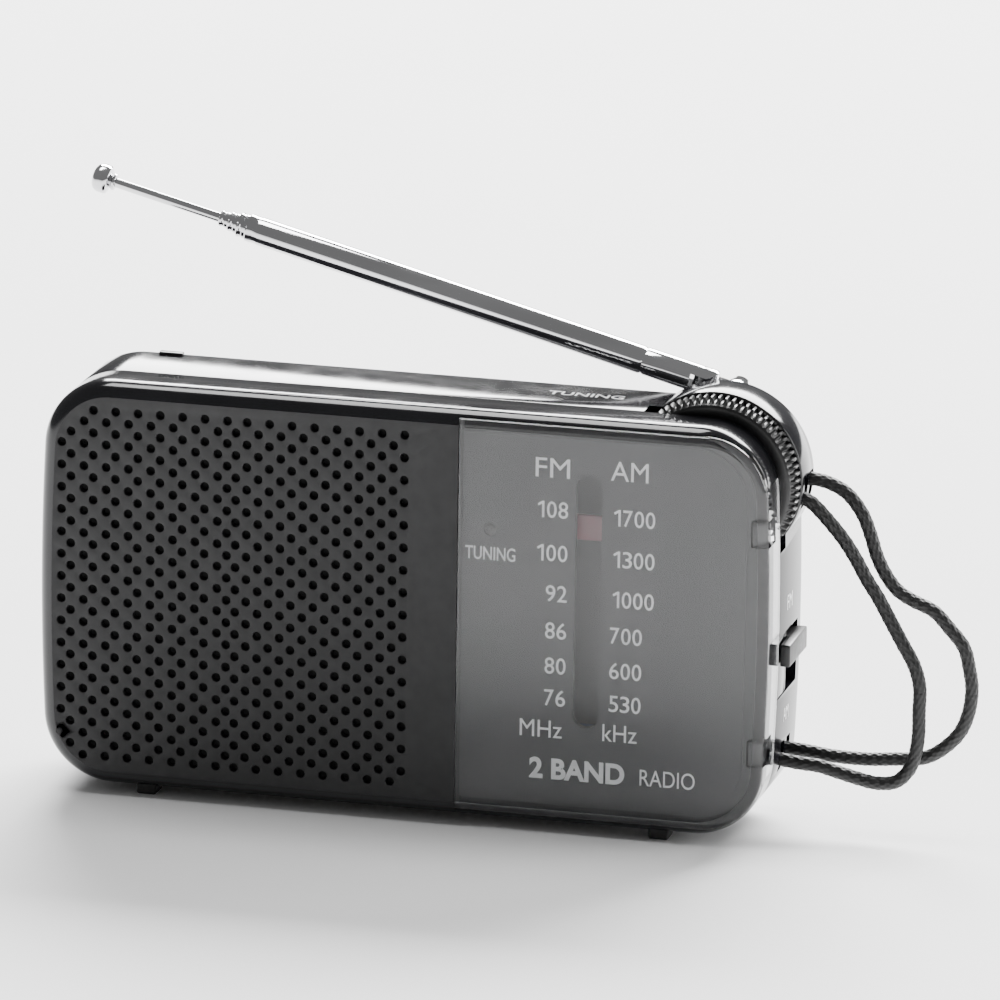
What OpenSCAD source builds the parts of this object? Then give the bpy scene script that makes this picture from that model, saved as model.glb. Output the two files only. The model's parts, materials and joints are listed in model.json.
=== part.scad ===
// Two-band pocket radio: moulded two-piece case, clear dial window, telescopic rod
// antenna, edge tuning wheel with a cord-driven pointer, and a wrist strap.
// X runs along the front to the right, Y from front to back, Z up.
// The origin is in the plane of the feet, under the middle of the case.

/* [Case] */
// Width of the case at the middle of its crowned sides
body_w = 120.2; // [100:0.1:150]
// Height of the case without its feet
body_h = 66.9; // [56:0.1:84]
// Depth of the case from front to back
body_d = 26.6; // [22.6:0.1:36]
// Radius of the four corners, seen from the front
corner_r = 11.5; // [9:0.1:14]
// How far each side bulges at its middle
side_crown = 1.2; // [0.4:0.1:2]
// Radius round the front face
front_fillet = 2.9; // [1.5:0.1:4]
// Radius round the back face
rear_fillet = 3.4; // [1.5:0.1:4]
// Thickness of the case walls
wall = 1.6; // [1.2:0.1:2]
// Border between the speaker panel and the edge of the case
panel_edge = 2.4; // [2:0.1:3]
// Depth of the front shell, up to the parting line
front_depth = 8.5; // [7.5:0.1:10]
// Height of the feet
foot_h = 1.6; // [1:0.1:3]
// Width of a foot
foot_w = 3.2; // [2:0.1:6]

/* [Speaker] */
// Diameter of the loudspeaker
speaker_d = 57; // [45:0.5:60]
// Diameter of the magnet
magnet_d = 29; // [20:0.5:36]
// Depth of the loudspeaker
speaker_depth = 16.5; // [12:0.5:18]
// Distance between neighbouring holes of the grille
hole_pitch = 3.7; // [3:0.1:5]
// Diameter of a grille hole
hole_d = 1.4; // [0.8:0.1:2.2]
// Rows of holes in each of the two interleaved grids
hole_rows = 16; // [10:1:16]

/* [Dial] */
// Left edge of the clear window, to the right of the middle
window_x = 9.4; // [4:0.1:20]
// Thickness of the window
window_t = 2.0; // [1:0.1:3]
// How far the window stands proud of the case
window_proud = 0.2; // [0:0.1:0.5]
// Band of the case that shows round the window
window_margin = 1.1; // [0.6:0.1:2]
// Gap between the window and the dial plate
dial_gap = 0.8; // [0.4:0.1:1.5]
// Thickness of the dial plate
dial_t = 1.2; // [0.8:0.1:1.5]
// Width of the pointer slot
slot_w = 4.3; // [3:0.1:6]
// Length of the pointer slot
slot_len = 41.4; // [36:0.1:44]
// Height of the pointer
pointer_h = 4.1; // [3:0.1:5]

/* [Tuning] */
// Radius of the tuning wheel
wheel_r = 14.0; // [13:0.1:14.2]
// Thickness of the tuning wheel
wheel_t = 3.2; // [2.4:0.1:3.6]
// Grooves round the tuning wheel
wheel_grooves = 75; // [40:1:90]
// Radius at which the dial cord runs round its drum
drum_r = 9.6; // [8:0.1:9.8]
// Diameter of the dial cord
dial_cord_d = 0.5; // [0.3:0.1:0.6]

/* [Controls] */
// Radius of the volume wheel
volume_r = 9.0; // [8:0.1:10]
// Thickness of the volume wheel
volume_t = 2.6; // [2:0.1:4]
// Height of the band switch knob
knob_h = 3.6; // [2.5:0.1:4.5]
// Travel of the band switch knob
knob_travel = 3.6; // [2.5:0.1:4.5]

/* [Batteries] */
// Diameter of a battery cell
cell_d = 14.3; // [13.8:0.1:14.5]
// Length of a battery cell
cell_len = 50.2; // [48:0.1:50.5]

/* [Antenna] */
// Angle of the antenna above the horizontal
antenna_rise = 14.5; // [0:0.5:75]
// Outer diameter of the first tube
tube_d = 4.6; // [4:0.1:5]
// Length from the turning axis to the end of the first tube
tube_end = 83.5; // [70:0.5:84]
// Length of a collar that shows when a section is pushed in
collar = 1.6; // [1:0.1:3]
// Diameter of the inner rod
rod_d = 1.6; // [1.2:0.1:1.6]
// Length of the inner rod that is pulled out
rod_out = 18; // [0:1:40]
// Diameter of the tip
tip_d = 4.7; // [4:0.1:6]

/* [Strap] */
// Diameter of the braided wrist strap cord
strap_d = 2.1; // [1.5:0.1:2.3]

/* [Hidden] */

$fn = 48;
hull_slices = 4;
corner_steps = 7;
running = 0.05;         // radial clearance of a shaft that turns or slides
clear = 0.3;            // gap between parts that move past each other
skin = 0.01;            // thickness of the slices that a rounded block is stretched over

// Planes and centres that several parts share
front_y = -body_d / 2;
rear_y = body_d / 2;
parting_y = front_y + front_depth;
case_bottom = foot_h;
case_top = foot_h + body_h;
mid_z = foot_h + body_h / 2;
half_w = body_w / 2;
big = 200;              // larger than the radio, for cutting

// Tuning wheel, concentric with the upper right corner
wheel_x = half_w - corner_r - 0.3;
wheel_z = case_top - corner_r + 0.4;
wheel_front = parting_y + clear;
wheel_rear = wheel_front + wheel_t;
slot_rear = wheel_rear + clear;
slot_r = wheel_r + 1.6;
cheek_r = wheel_r + 0.2;
cheek_wall = 1.2;
groove_depth = 0.7;
wheel_chamfer = 0.6;
chamfer_r = wheel_r - 1.3;
shaft_r = 3.0;
shaft_reach = 5;        // how far the shaft goes into the capacitor
head_edge = 1.2;
head_t = 0.8;
capacitor_w = 18;
capacitor_d = 6.8;

// Rebate for the antenna along the upper rear edge
rebate_y = rear_y - 5.4;
rebate_floor = case_top - 2.8;
antenna_x = wheel_x + 0.4;
antenna_y = rear_y - 2.7;
antenna_z = case_top + 0.3;

// Window, dial plate and pointer
window_front = front_y - window_proud;
window_rear = window_front + window_t;
skirt_t = 0.8;
dial_front = window_rear + dial_gap;
dial_rear = dial_front + dial_t;
dial_fit = 0.05;
slot_x = 30.3;
slot_z = mid_z + 3.2;
pointer_z = mid_z + 15;
pointer_t = 1.0;
pointer_y = dial_rear + clear;
lamp_x = 14.2;
lamp_z = mid_z + 13.9;
lamp_r = 1.05;
lamp_proud = 0.3;
scale_travel = PI * drum_r;
rail_x = slot_x + 4.9;
rail_r = 0.6;
rail_y = pointer_y + pointer_t + 1.0;
cord_r = dial_cord_d / 2;
cord_y = parting_y - 0.7;
cord_x = wheel_x - drum_r;
pulley_r = 2.0;
flange_t = 0.4;
groove_gap = 0.1;        // between the cord and a groove's side
drum_lip = 0.3;
pulley_lip = 0.4;
post_r = 0.8;
pulley_x = cord_x + pulley_r;
pulley_z = pointer_z - scale_travel - 4;
loop_dx = wheel_x - pulley_x;
loop_dz = wheel_z - pulley_z;
loop_gap = sqrt(loop_dx * loop_dx + loop_dz * loop_dz);
loop_lean = atan2(loop_dx, loop_dz);    // of the cord's loop, from upright
loop_wrap = asin((drum_r - pulley_r) / loop_gap);

// Loudspeaker and its grille
speaker_x = -27.75;
speaker_z = mid_z + 1;
speaker_front = front_y + wall;
frame_rim = 2.4;
hole_gap = 0.42 * hole_pitch;
right_shift = 7.88 * hole_pitch;
first_hole_x = -54.5;
first_hole_z = speaker_z + (hole_rows / 2 - 0.5) * hole_pitch;

// Battery bay in the lower rear
bay_left = -10.3;
bay_wall = 1.2;
bay_contact = 2.8;      // room for a spring or a plate at each end
bay_len = cell_len + 2 * bay_contact;
bay_right = bay_left + bay_len;
bay_bottom = case_bottom + wall;
cell_gap = 0.4;
plate_t = 0.4;          // contact plate
cell_nub_r = 2.7;
cell_nub = 1.2;
bay_top = bay_bottom + 2 * cell_d + 3 * cell_gap;
cell_y = rear_y - wall - clear - cell_d / 2;
door_gap = 0.3;
door_travel = 6;
hook_t = 0.9;
hook_reach = 1.2;       // how far a hook reaches behind the wall
hook_root = 0.5;
hook_len = 6;
hook_spots = [bay_left + 4, bay_left + 22, bay_left + 40];
door_z0 = bay_bottom + 2.4;
door_z1 = bay_top - 1.8;

// Band switch on the right side: a slot behind a tongue of plain wall, a slider that
// closes the slot, and a ridge on it that reaches over the tongue
recess_z0 = mid_z - 12.2;
recess_z1 = mid_z - 2;
recess_rear = rear_y - 5.2;
slot_front = parting_y + 6;
slider_t = 1.2;
switch_wall = 2.2;      // wall behind the recess
switch_rim = 1.4;
slider_h = recess_z1 - recess_z0 - knob_travel - 2 * clear;
slider_z1 = recess_z1 - clear;
knob_proud = 1.7;
knob_z = slider_z1 - 0.8 - knob_h / 2;
stalk_w = 2.0;

// Volume wheel and earphone jack on the left side
volume_x = -half_w + 7.6;
volume_z = mid_z + 15;
volume_y = 0.6;
volume_shaft_r = 2.0;
volume_cut = 1.5;       // how much shorter than the wheel its slot is
volume_grooves = 48;
volume_reach = 2.5;     // how far the shaft goes beyond the wheel
volume_depth = 0.5;
jack_z = mid_z - 14;
jack_y = 3.0;
jack_r = 1.8;
jack_len = 14;
jack_body = 8;
jack_collar_r = 3.0;
jack_collar_len = 2.5;

// Circuit board, behind the tuning capacitor and above the battery bay
board_t = 1.2;
board_front = slot_rear + capacitor_d + 0.2;
board_left = -9;
board_bottom = bay_top + bay_wall + 0.6;
board_top = rebate_floor - wall - 0.4;
board_right = half_w - wall - 3;
ferrite_x = 10;
ferrite_y = board_front - 5;
ferrite_z = board_top - 5.5;
ferrite_r = 3.5;
coil_t = 0.9;

// Screws that hold the two shells together, as [x, z]
boss_r = 2.6;
screw_r = 1.1;
screw_head_r = 2.0;
screw_head_t = 1.2;
screw_sink = 4;         // depth of a screw's counterbore
screw_spots = [
    [-half_w + 6.6, case_bottom + 7.0],
    [-half_w + 6.6, case_top - 6.6],
    [4.5, case_top - 5.2 - wall],
    [bay_left - 6.5, case_bottom + 6.4]
];

// Feet
foot_d = 4.0;
foot_x = 42.4;
foot_front = front_y + 4.2;
foot_rear = rear_y - 5.0;

// Antenna
fork_at = 5.3;          // from the turning axis to the leaning pin
barrel_r = 2.1;
barrel_w = 4.6;
stem_r = 0.9;
antenna_boss_r = 2.2;
antenna_boss_gap = 3;   // behind the tuning wheel's slot
rivet_r = 1.25;
rivet_t = 0.8;
stem_len = 6.0;
tongue_t = 1.8;
tongue_r = 1.9;
ear_r = 2.1;
pin_r = 0.7;
tube_start = 12;
tube_wall = 0.25;
second_wall = 0.34;
third_wall = 0.24;
tube_r = tube_d / 2;
second_r = tube_r - tube_wall - running;
third_r = second_r - second_wall - running;
fourth_r = third_r - third_wall - running;
rod_r = rod_d / 2;
tip_len = 4.0;
nest = 1.0;             // each section starts this far inside the one before
closed_end = tube_end + 3 * collar;

// Strap: slots in the right side, and the route of the cord as [x, y, z]
strap_slot_w = strap_d + 0.4;
strap_slot_depth = 4.5;
strap_front_y = 1.4;
strap_rear_y = 5.2;
upper_slot_z = [53.0, 58.4];
lower_slot_z = [9.4, 14.4];
knot_r = 1.75;
strap_route = [
    [59.4, 5.2, 57.0], [62.4, 5.2, 57.0], [65.5, 5.1, 56.5], [68.5, 4.9, 55.0],
    [71.0, 4.7, 52.0], [72.5, 4.6, 48.5], [73.5, 4.5, 45.5], [75.0, 4.5, 42.5],
    [77.0, 4.5, 40.0], [79.5, 4.5, 38.5], [83.0, 4.5, 37.0], [85.5, 4.5, 34.5],
    [88.0, 4.5, 31.5], [89.0, 4.5, 28.0], [89.5, 4.5, 24.5], [89.0, 4.5, 20.5],
    [87.5, 4.5, 17.0], [84.5, 4.5, 14.0], [81.5, 4.6, 12.5], [77.5, 4.8, 12.0],
    [72.5, 5.0, 11.5], [67.0, 5.2, 11.5], [62.5, 5.2, 12.0], [58.2, 5.2, 12.2],
    [56.6, 4.7, 12.2], [55.9, 3.3, 12.0], [56.6, 1.9, 11.7], [58.2, 1.4, 11.5],
    [62.0, 1.4, 11.0], [65.5, 1.6, 10.7], [68.5, 1.9, 9.9], [72.0, 2.1, 9.0],
    [75.0, 2.2, 8.5], [78.0, 2.2, 9.0], [80.0, 2.2, 11.0], [81.0, 2.2, 13.5],
    [81.5, 2.2, 17.0], [81.5, 2.2, 21.0], [81.5, 2.2, 25.0], [80.5, 2.2, 28.5],
    [78.5, 2.2, 32.0], [76.5, 2.2, 35.5], [74.5, 2.2, 39.0], [72.5, 2.2, 42.0],
    [70.5, 2.1, 45.5], [68.5, 1.9, 48.5], [66.0, 1.6, 51.5], [63.5, 1.4, 54.0],
    [61.5, 1.4, 54.8], [59.4, 1.4, 55.0]
];
strap_sides = 8;

// ---- Outlines -------------------------------------------------------------

// Right half of the front view, from the bottom up: straight top and bottom, round
// corners, and a side crowned on one large arc. A positive inset shrinks it evenly.
function right_half(inset) =
    let (
        tall = body_h / 2 - inset,
        side_r = (body_h * body_h / 4 + side_crown * side_crown) / (2 * side_crown) - inset,
        side_x = half_w - inset - side_r,
        small_r = max(corner_r - inset, 1),
        corner_z = tall - small_r,
        corner_x = side_x + sqrt(pow(side_r - small_r, 2) - pow(corner_z, 2)),
        turn = atan2(corner_z, corner_x - side_x),
        upper = [
            for (i = [0:corner_steps])
                let (a = turn + (90 - turn) * i / corner_steps)
                    [corner_x + small_r * cos(a), corner_z + small_r * sin(a)]
        ],
        side = [
            for (i = [-2:2])
                let (a = turn * i / 3)
                    [side_x + side_r * cos(a), side_r * sin(a)]
        ]
    )
    concat(
        [for (i = [corner_steps:-1:0]) [upper[i][0], mid_z - upper[i][1]]],
        [for (p = side) [p[0], mid_z + p[1]]],
        [for (p = upper) [p[0], mid_z + p[1]]]
    );

function outline(inset) =
    let (half = right_half(inset), last = len(half) - 1)
        concat(half, [for (i = [last:-1:0]) [-half[i][0], half[i][1]]]);

// A ring of evenly spaced teeth, as one closed outline
function toothed(outer, inner, count, top_share) =
    [
        for (i = [0:count - 1], k = [0:3])
            let (
                step = 360 / count,
                a = step * (i + [0, top_share, top_share + 0.14, 0.86][k]),
                r = k < 2 ? outer : inner
            )
                [r * cos(a), r * sin(a)]
    ];

// ---- Placing --------------------------------------------------------------

// Stands a flat shape up in the XZ plane, from y0 back to y1
module slab(y0, y1) {
    translate([0, y1, 0])
        rotate([90, 0, 0])
            linear_extrude(y1 - y0)
                children();
}

// A round bar along Y
module bar_y(x, z, r, y0, y1) {
    translate([x, y1, z])
        rotate([90, 0, 0])
            cylinder(r = r, h = y1 - y0);
}

// A round bar along X
module bar_x(y, z, r, x0, x1) {
    translate([x0, y, z])
        rotate([0, 90, 0])
            cylinder(r = r, h = x1 - x0);
}

// A box given by its lowest and highest corners
module block(low, high) {
    translate(low)
        cube(high - low);
}

// The antenna's own frame: x along the rod, y to the back
module along_rod() {
    translate([antenna_x, antenna_y, antenna_z])
        rotate([0, 180 + antenna_rise, 0])
            children();
}

// A round bar along the rod
module rod_bar(r, x0, x1) {
    translate([x0, 0, 0])
        rotate([0, 90, 0])
            cylinder(r = r, h = x1 - x0);
}

// A tube along the rod
module rod_tube(r, bore, x0, x1) {
    difference() {
        rod_bar(r, x0, x1);
        rod_bar(bore, x0 - 1, x1 + 1);
    }
}

// ---- Case -----------------------------------------------------------------

// The whole case as one block with rounded front and rear edges, shrunk by inset
module case_block(inset) {
    front_r = max(front_fillet - inset, 0.6);
    rear_r = max(rear_fillet - inset, 0.6);
    hull() {
        for (i = [0:hull_slices])
            let (a = 90 * i / hull_slices, y = front_y + inset + front_r * (1 - sin(a)))
                slab(y, y + skin)
                    polygon(outline(inset + front_r * (1 - cos(a))));
        for (i = [0:hull_slices])
            let (a = 90 * i / hull_slices, y = rear_y - inset - rear_r * (1 - sin(a)))
                slab(y - skin, y)
                    polygon(outline(inset + rear_r * (1 - cos(a))));
    }
}

// Where the clear window lies: its front plate, flush with the case on the right
module window_plate_area() {
    intersection() {
        translate([window_margin, 0])
            polygon(outline(window_margin));
        translate([window_x, 0])
            square([big, big]);
    }
}

// Where the clear window wraps over the right side
module window_skirt() {
    skirt_r = half_w - 6;
    difference() {
        slab(window_rear - skin, parting_y)
            intersection() {
                polygon(outline(0));
                translate([skirt_r, case_bottom + corner_r * 0.8])
                    square([big, body_h - corner_r * 1.6]);
            }
        slab(window_rear - 1, parting_y + 1)
            polygon(outline(skirt_t));
    }
}

module front_shell() {
    color([0.09, 0.09, 0.1])
        difference() {
            intersection() {
                case_block(0);
                block([-big, -big, 0], [big, parting_y, big]);
            }
            case_block(wall);
            slab(front_y - 1, front_y + 2 * wall)
                panel_area();
            slab(window_front - 1, window_rear)
                window_plate_area();
            window_skirt();
            bar_y(wheel_x, wheel_z, drum_r + 2 * drum_lip + clear, cord_y - 1, parting_y + 1);
        }
}

// The outline of the flat panel in front of the loudspeaker
module panel_area() {
    intersection() {
        polygon(outline(panel_edge));
        translate([-big, 0])
            square([big + window_x - wall, big]);
    }
}

// One grid of round holes: columns to the right, rows down
module hole_grid(x, z, columns, rows) {
    for (c = [0:columns - 1], r = [0:rows - 1])
        translate([x + c * hole_pitch, z - r * hole_pitch])
            circle(d = hole_d, $fn = 16);
}

// Two blocks of interleaved grids; the outermost column leaves out its corner holes
module grille_holes() {
    z = first_hole_z;
    half = hole_pitch / 2;
    hole_grid(first_hole_x, z - hole_pitch, 1, hole_rows - 1);
    hole_grid(first_hole_x + hole_pitch, z, 7, hole_rows);
    hole_grid(first_hole_x - hole_gap, z - half - hole_pitch, 1, hole_rows - 2);
    hole_grid(first_hole_x - hole_gap + hole_pitch, z - half, 7, hole_rows);
    hole_grid(first_hole_x + right_shift, z, 8, hole_rows);
    hole_grid(first_hole_x + right_shift - 0.49 * hole_pitch, z - half, 8, hole_rows);
}

module speaker_grille() {
    color([0.13, 0.13, 0.14])
        slab(front_y, front_y + wall)
            difference() {
                panel_area();
                grille_holes();
            }
}

// The hollow of the case, kept clear of the walls round the antenna rebate
module case_hollow() {
    difference() {
        case_block(wall);
        block([-big, rebate_y - wall, rebate_floor - wall], [big, big, big]);
    }
}

module battery_bay_walls() {
    front = cell_y - cell_d / 2 - clear;
    difference() {
        block(
            [bay_left - bay_wall, front, bay_bottom - 0.5],
            [bay_right + bay_wall, rear_y - wall, bay_top + bay_wall]
        );
        block([bay_left, front - 1, bay_bottom], [bay_right, rear_y + 1, bay_top]);
    }
}

module screw_bosses() {
    for (s = screw_spots)
        bar_y(s[0], s[1], boss_r, parting_y, rear_y - wall + 0.2);
}

// The opening for the door, through to the right end of the case
module door_opening() {
    block(
        [bay_left, rear_y - wall - door_gap, door_z0 - door_gap],
        [big, big, door_z1 + door_gap]
    );
}

module rear_shell() {
    color([0.1, 0.1, 0.11])
        difference() {
            union() {
                difference() {
                    union() {
                        intersection() {
                            case_block(0);
                            block([-big, parting_y, 0], [big, big, big]);
                        }
                        bar_y(wheel_x, wheel_z, cheek_r, slot_rear, rebate_y);
                    }
                    case_hollow();
                    bar_y(wheel_x, wheel_z, cheek_r - cheek_wall, slot_rear - 1, rebate_y - wall);
                }
                battery_bay_walls();
                screw_bosses();
                bar_y(antenna_x, antenna_z, antenna_boss_r, slot_rear + antenna_boss_gap, rebate_y);
                block(
                    [half_w - switch_wall - side_crown, parting_y, recess_z0 - switch_rim],
                    [half_w - side_crown, recess_rear + switch_rim, recess_z1 + switch_rim]
                );
            }
            // wheel slot, open to the top and to the right
            bar_y(wheel_x, wheel_z, slot_r, parting_y - 1, slot_rear);
            // antenna rebate and the bore for the antenna's stem
            block([-big, rebate_y, rebate_floor], [big, big, big]);
            bar_y(antenna_x, antenna_z, stem_r + running, slot_rear, big);
            door_opening();
            // band switch: a shallow recess and the slot for its knob
            block([half_w - side_crown, parting_y - 1, recess_z0], [big, recess_rear, recess_z1]);
            block([half_w - 8, slot_front, recess_z0], [big, recess_rear, recess_z1]);
            // volume wheel slot and earphone hole
            block(
                [-big, volume_y - clear, volume_z - volume_r + volume_cut],
                [volume_x, volume_y + volume_t + clear, volume_z + volume_r - volume_cut]
            );
            bar_x(jack_y, jack_z, jack_collar_r + running, -big, -half_w + 6);
            // strap slots
            for (y = [strap_front_y, strap_rear_y], z = [upper_slot_z, lower_slot_z])
                block(
                    [half_w - strap_slot_depth, y - strap_slot_w / 2, z[0]],
                    [big, y + strap_slot_w / 2, z[1]]
                );
            // screws
            for (s = screw_spots) {
                bar_y(s[0], s[1], screw_r, parting_y - 1, rear_y + 1);
                bar_y(s[0], s[1], screw_head_r, rear_y - screw_sink, rear_y + 1);
            }
        }
}

// The door slides to the right until its hooks come clear of the wall
module battery_door() {
    inner = rear_y - wall;
    color([0.1, 0.1, 0.11])
        intersection() {
            case_block(0);
            union() {
                block([bay_left + door_gap, inner, door_z0], [big, big, door_z1]);
                for (x = hook_spots, up = [0, 1])
                    let (
                        edge = up == 1 ? door_z1 : door_z0,
                        out = up == 1 ? hook_reach : hook_root,
                        in = up == 1 ? hook_root : hook_reach
                    ) {
                        block(
                            [x, inner - door_gap - hook_t, edge - in],
                            [x + hook_len, inner - door_gap, edge + out]
                        );
                        block(
                            [x, inner - door_gap - skin, edge - up * hook_root],
                            [x + hook_len, inner + skin, edge + (1 - up) * hook_root]
                        );
                    }
            }
        }
}

module rubber_feet() {
    color([0.08, 0.08, 0.08])
        for (x = [-foot_x, foot_x], y = [foot_front, foot_rear])
            translate([x - foot_w / 2, y - foot_d / 2, 0])
                cube([foot_w, foot_d, foot_h]);
}

module case_screws() {
    color([0.7, 0.7, 0.72])
        for (s = screw_spots) {
            bar_y(s[0], s[1], screw_r, parting_y, rear_y - screw_sink);
            bar_y(s[0], s[1], screw_head_r - 0.1, rear_y - screw_sink, rear_y - screw_sink + screw_head_t);
        }
}

// ---- Dial -----------------------------------------------------------------

module dial_window() {
    color([0.75, 0.78, 0.8, 0.35]) {
        slab(window_front, window_rear)
            window_plate_area();
        window_skirt();
    }
}

module dial_plate() {
    color([0.3, 0.3, 0.31])
        slab(dial_front, dial_rear)
            difference() {
                intersection() {
                    polygon(outline(wall + dial_fit));
                    translate([window_x - wall, 0])
                        square([big, big]);
                }
                translate([slot_x, slot_z])
                    slot_shape();
            }
}

// The pointer slot: a square-sided slot with round ends
module slot_shape() {
    run = slot_len - slot_w;
    square([slot_w, run], center = true);
    for (s = [-1, 1])
        translate([0, s * run / 2])
            circle(d = slot_w);
}

module power_lamp() {
    color([0.2, 0.05, 0.05])
        bar_y(lamp_x, lamp_z, lamp_r, dial_front - lamp_proud, dial_front);
}

// ---- Loudspeaker ----------------------------------------------------------

// A turned part on the loudspeaker's axis, front at y0
module on_speaker(y0) {
    translate([speaker_x, y0, speaker_z])
        rotate([-90, 0, 0])
            rotate_extrude($fn = 64)
                children();
}

module speaker_frame() {
    rim = speaker_d / 2;
    neck = magnet_d / 2 - 2;
    deep = speaker_depth - 7;
    color([0.62, 0.62, 0.64])
        on_speaker(speaker_front)
            polygon([
                [rim - frame_rim, 0], [rim, 0], [rim, 1.2], [rim - frame_rim, 1.6],
                [neck + 2, deep], [6, deep], [6, deep - 0.8], [neck + 1.2, deep - 0.8],
                [rim - frame_rim - 0.6, 1.4]
            ]);
}

module speaker_cone() {
    edge = speaker_d / 2 - frame_rim - 0.6;
    deep = speaker_depth - 9.5;
    color([0.16, 0.15, 0.14])
        on_speaker(speaker_front)
            polygon([
                [6.5, deep], [edge - 3, 1.2], [edge - 1.5, 0.4], [edge, 0.8],
                [edge, 1.2], [edge - 1.5, 0.8], [edge - 2.8, 1.7], [6.5, deep + 0.5]
            ]);
}

module speaker_cap() {
    deep = speaker_depth - 9.5;
    color([0.12, 0.12, 0.12])
        on_speaker(speaker_front)
            polygon([
                [0, deep - 2.6], [3, deep - 2.1], [5.4, deep - 0.9], [6.5, deep],
                [6.5, deep + 0.5], [5.0, deep], [2.8, deep - 1.5], [0, deep - 2]
            ]);
}

module speaker_magnet() {
    deep = speaker_front + speaker_depth;
    color([0.25, 0.25, 0.26])
        bar_y(speaker_x, speaker_z, magnet_d / 2, deep - 7, deep);
}

// ---- Electronics ----------------------------------------------------------

module circuit_board() {
    color([0.55, 0.42, 0.2])
        difference() {
            slab(board_front, board_front + board_t)
                polygon([
                    [board_left, board_bottom], [bay_right + 3, board_bottom],
                    [bay_right + 3, recess_z0], [board_right - 2, recess_z0],
                    [board_right, recess_z1 + 4], [board_right, wheel_z - 4],
                    [board_right - 4, board_top - 3], [board_right - 8, board_top],
                    [board_left, board_top]
                ]);
            for (s = screw_spots)
                bar_y(s[0], s[1], boss_r + clear, board_front - 1, board_front + board_t + 1);
        }
}

module tuning_capacitor() {
    w = capacitor_w / 2;
    color([0.85, 0.85, 0.8])
        difference() {
            block(
                [wheel_x - w, slot_rear + 0.2, wheel_z - w],
                [wheel_x + w, board_front, wheel_z + w - 0.2]
            );
            bar_y(wheel_x, wheel_z, shaft_r + running, slot_rear - 1, slot_rear + shaft_reach + 0.5);
        }
}

module if_cans() {
    can = 7;
    tall = 6.5;
    step = 9;
    left = board_left + 30;
    bottom = board_bottom + 2.5;
    color([0.8, 0.8, 0.82])
        for (i = [0, 1], j = [0, 1])
            translate([left + i * step, board_front - tall, bottom + j * step])
                cube([can, tall, can]);
}

module electrolytics() {
    r = 2.5;
    tall = 8;
    step = 7.5;
    color([0.1, 0.15, 0.35])
        for (i = [0:2])
            bar_y(board_left + 5 + i * step, board_bottom + 16, r, board_front - tall, board_front);
}

module amplifier_chip() {
    chip = [10, 3, 6];
    color([0.12, 0.12, 0.12])
        translate([board_left + 6, board_front - chip[1], board_bottom + 4])
            cube(chip);
}

module ferrite_rod() {
    color([0.2, 0.19, 0.19])
        bar_x(ferrite_y, ferrite_z, ferrite_r, ferrite_x, ferrite_x + capacitor_w);
}

module ferrite_coil() {
    color([0.75, 0.45, 0.2])
        difference() {
            bar_x(ferrite_y, ferrite_z, ferrite_r + coil_t, ferrite_x + 3, ferrite_x + 14);
            bar_x(ferrite_y, ferrite_z, ferrite_r, ferrite_x + 2, ferrite_x + 15);
        }
}

// ---- Tuning ---------------------------------------------------------------

module tuning_wheel() {
    color([0.12, 0.12, 0.13])
        difference() {
            union() {
                translate([wheel_x, 0, wheel_z])
                    slab(wheel_front + wheel_chamfer, wheel_rear)
                        polygon(toothed(wheel_r, wheel_r - groove_depth, wheel_grooves, 0.5));
                translate([wheel_x, wheel_front, wheel_z])
                    rotate([-90, 0, 0])
                        cylinder(r1 = chamfer_r, r2 = wheel_r - groove_depth, h = wheel_chamfer + skin);
            }
            bar_y(wheel_x, wheel_z, shaft_r, wheel_front - 1, wheel_rear + 1);
        }
}

module cord_drum() {
    groove = drum_r - cord_r - running;
    flange = drum_r + drum_lip;
    side = cord_r + groove_gap;
    front = -cord_r - flange_t;
    color([0.8, 0.8, 0.78])
        translate([wheel_x, cord_y, wheel_z])
            rotate([-90, 0, 0])
                rotate_extrude($fn = 64)
                    polygon([
                        [shaft_r, front], [flange, front],
                        [flange, -side], [groove, -side],
                        [groove, side], [flange, side],
                        [flange, wheel_front - cord_y], [shaft_r, wheel_front - cord_y]
                    ]);
}

module tuning_screw() {
    head_rear = cord_y - cord_r - flange_t;
    color([0.8, 0.65, 0.35]) {
        bar_y(wheel_x, wheel_z, shaft_r, head_rear, slot_rear + shaft_reach);
        bar_y(wheel_x, wheel_z, shaft_r + head_edge, head_rear - head_t, head_rear);
    }
}

// Rings of points joined in order into one closed polyhedron; a loop joins its ends
module tube_mesh(points, sides, loop) {
    n = len(points) / sides;
    walls = [
        for (i = [0:n - (loop ? 1 : 2)], k = [0:sides - 1])
            let (
                a = i * sides + k,
                b = i * sides + (k + 1) % sides,
                next = i == n - 1 ? -i * sides : sides
            )
                [a, b, b + next, a + next]
    ];
    caps = [
        [for (k = [sides - 1:-1:0]) k],
        [for (k = [0:sides - 1]) (n - 1) * sides + k]
    ];
    polyhedron(points = points, faces = loop ? walls : concat(caps, walls));
}

// The cord's loop: round the drum, down to the pulley, and back up
module dial_cord() {
    right = loop_lean + loop_wrap;
    sides = 8;
    steps = 24;
    // [centre x, centre z, radius, angle] of each ring, clockwise from the left run
    stops = concat(
        [for (i = [0:steps]) [wheel_x, wheel_z, drum_r, 180 - (180 + right) * i / steps]],
        [for (i = [0:steps / 2]) [pulley_x, pulley_z, pulley_r, -right - (180 - right) * 2 * i / steps]]
    );
    color([0.85, 0.8, 0.65])
        tube_mesh(
            [
                for (s = stops, k = [0:sides - 1])
                    let (reach = s[2] + cord_r * cos(360 * k / sides))
                        [
                            s[0] + reach * cos(s[3]),
                            cord_y + cord_r * sin(360 * k / sides),
                            s[1] + reach * sin(s[3])
                        ]
            ],
            sides,
            true
        );
}

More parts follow.
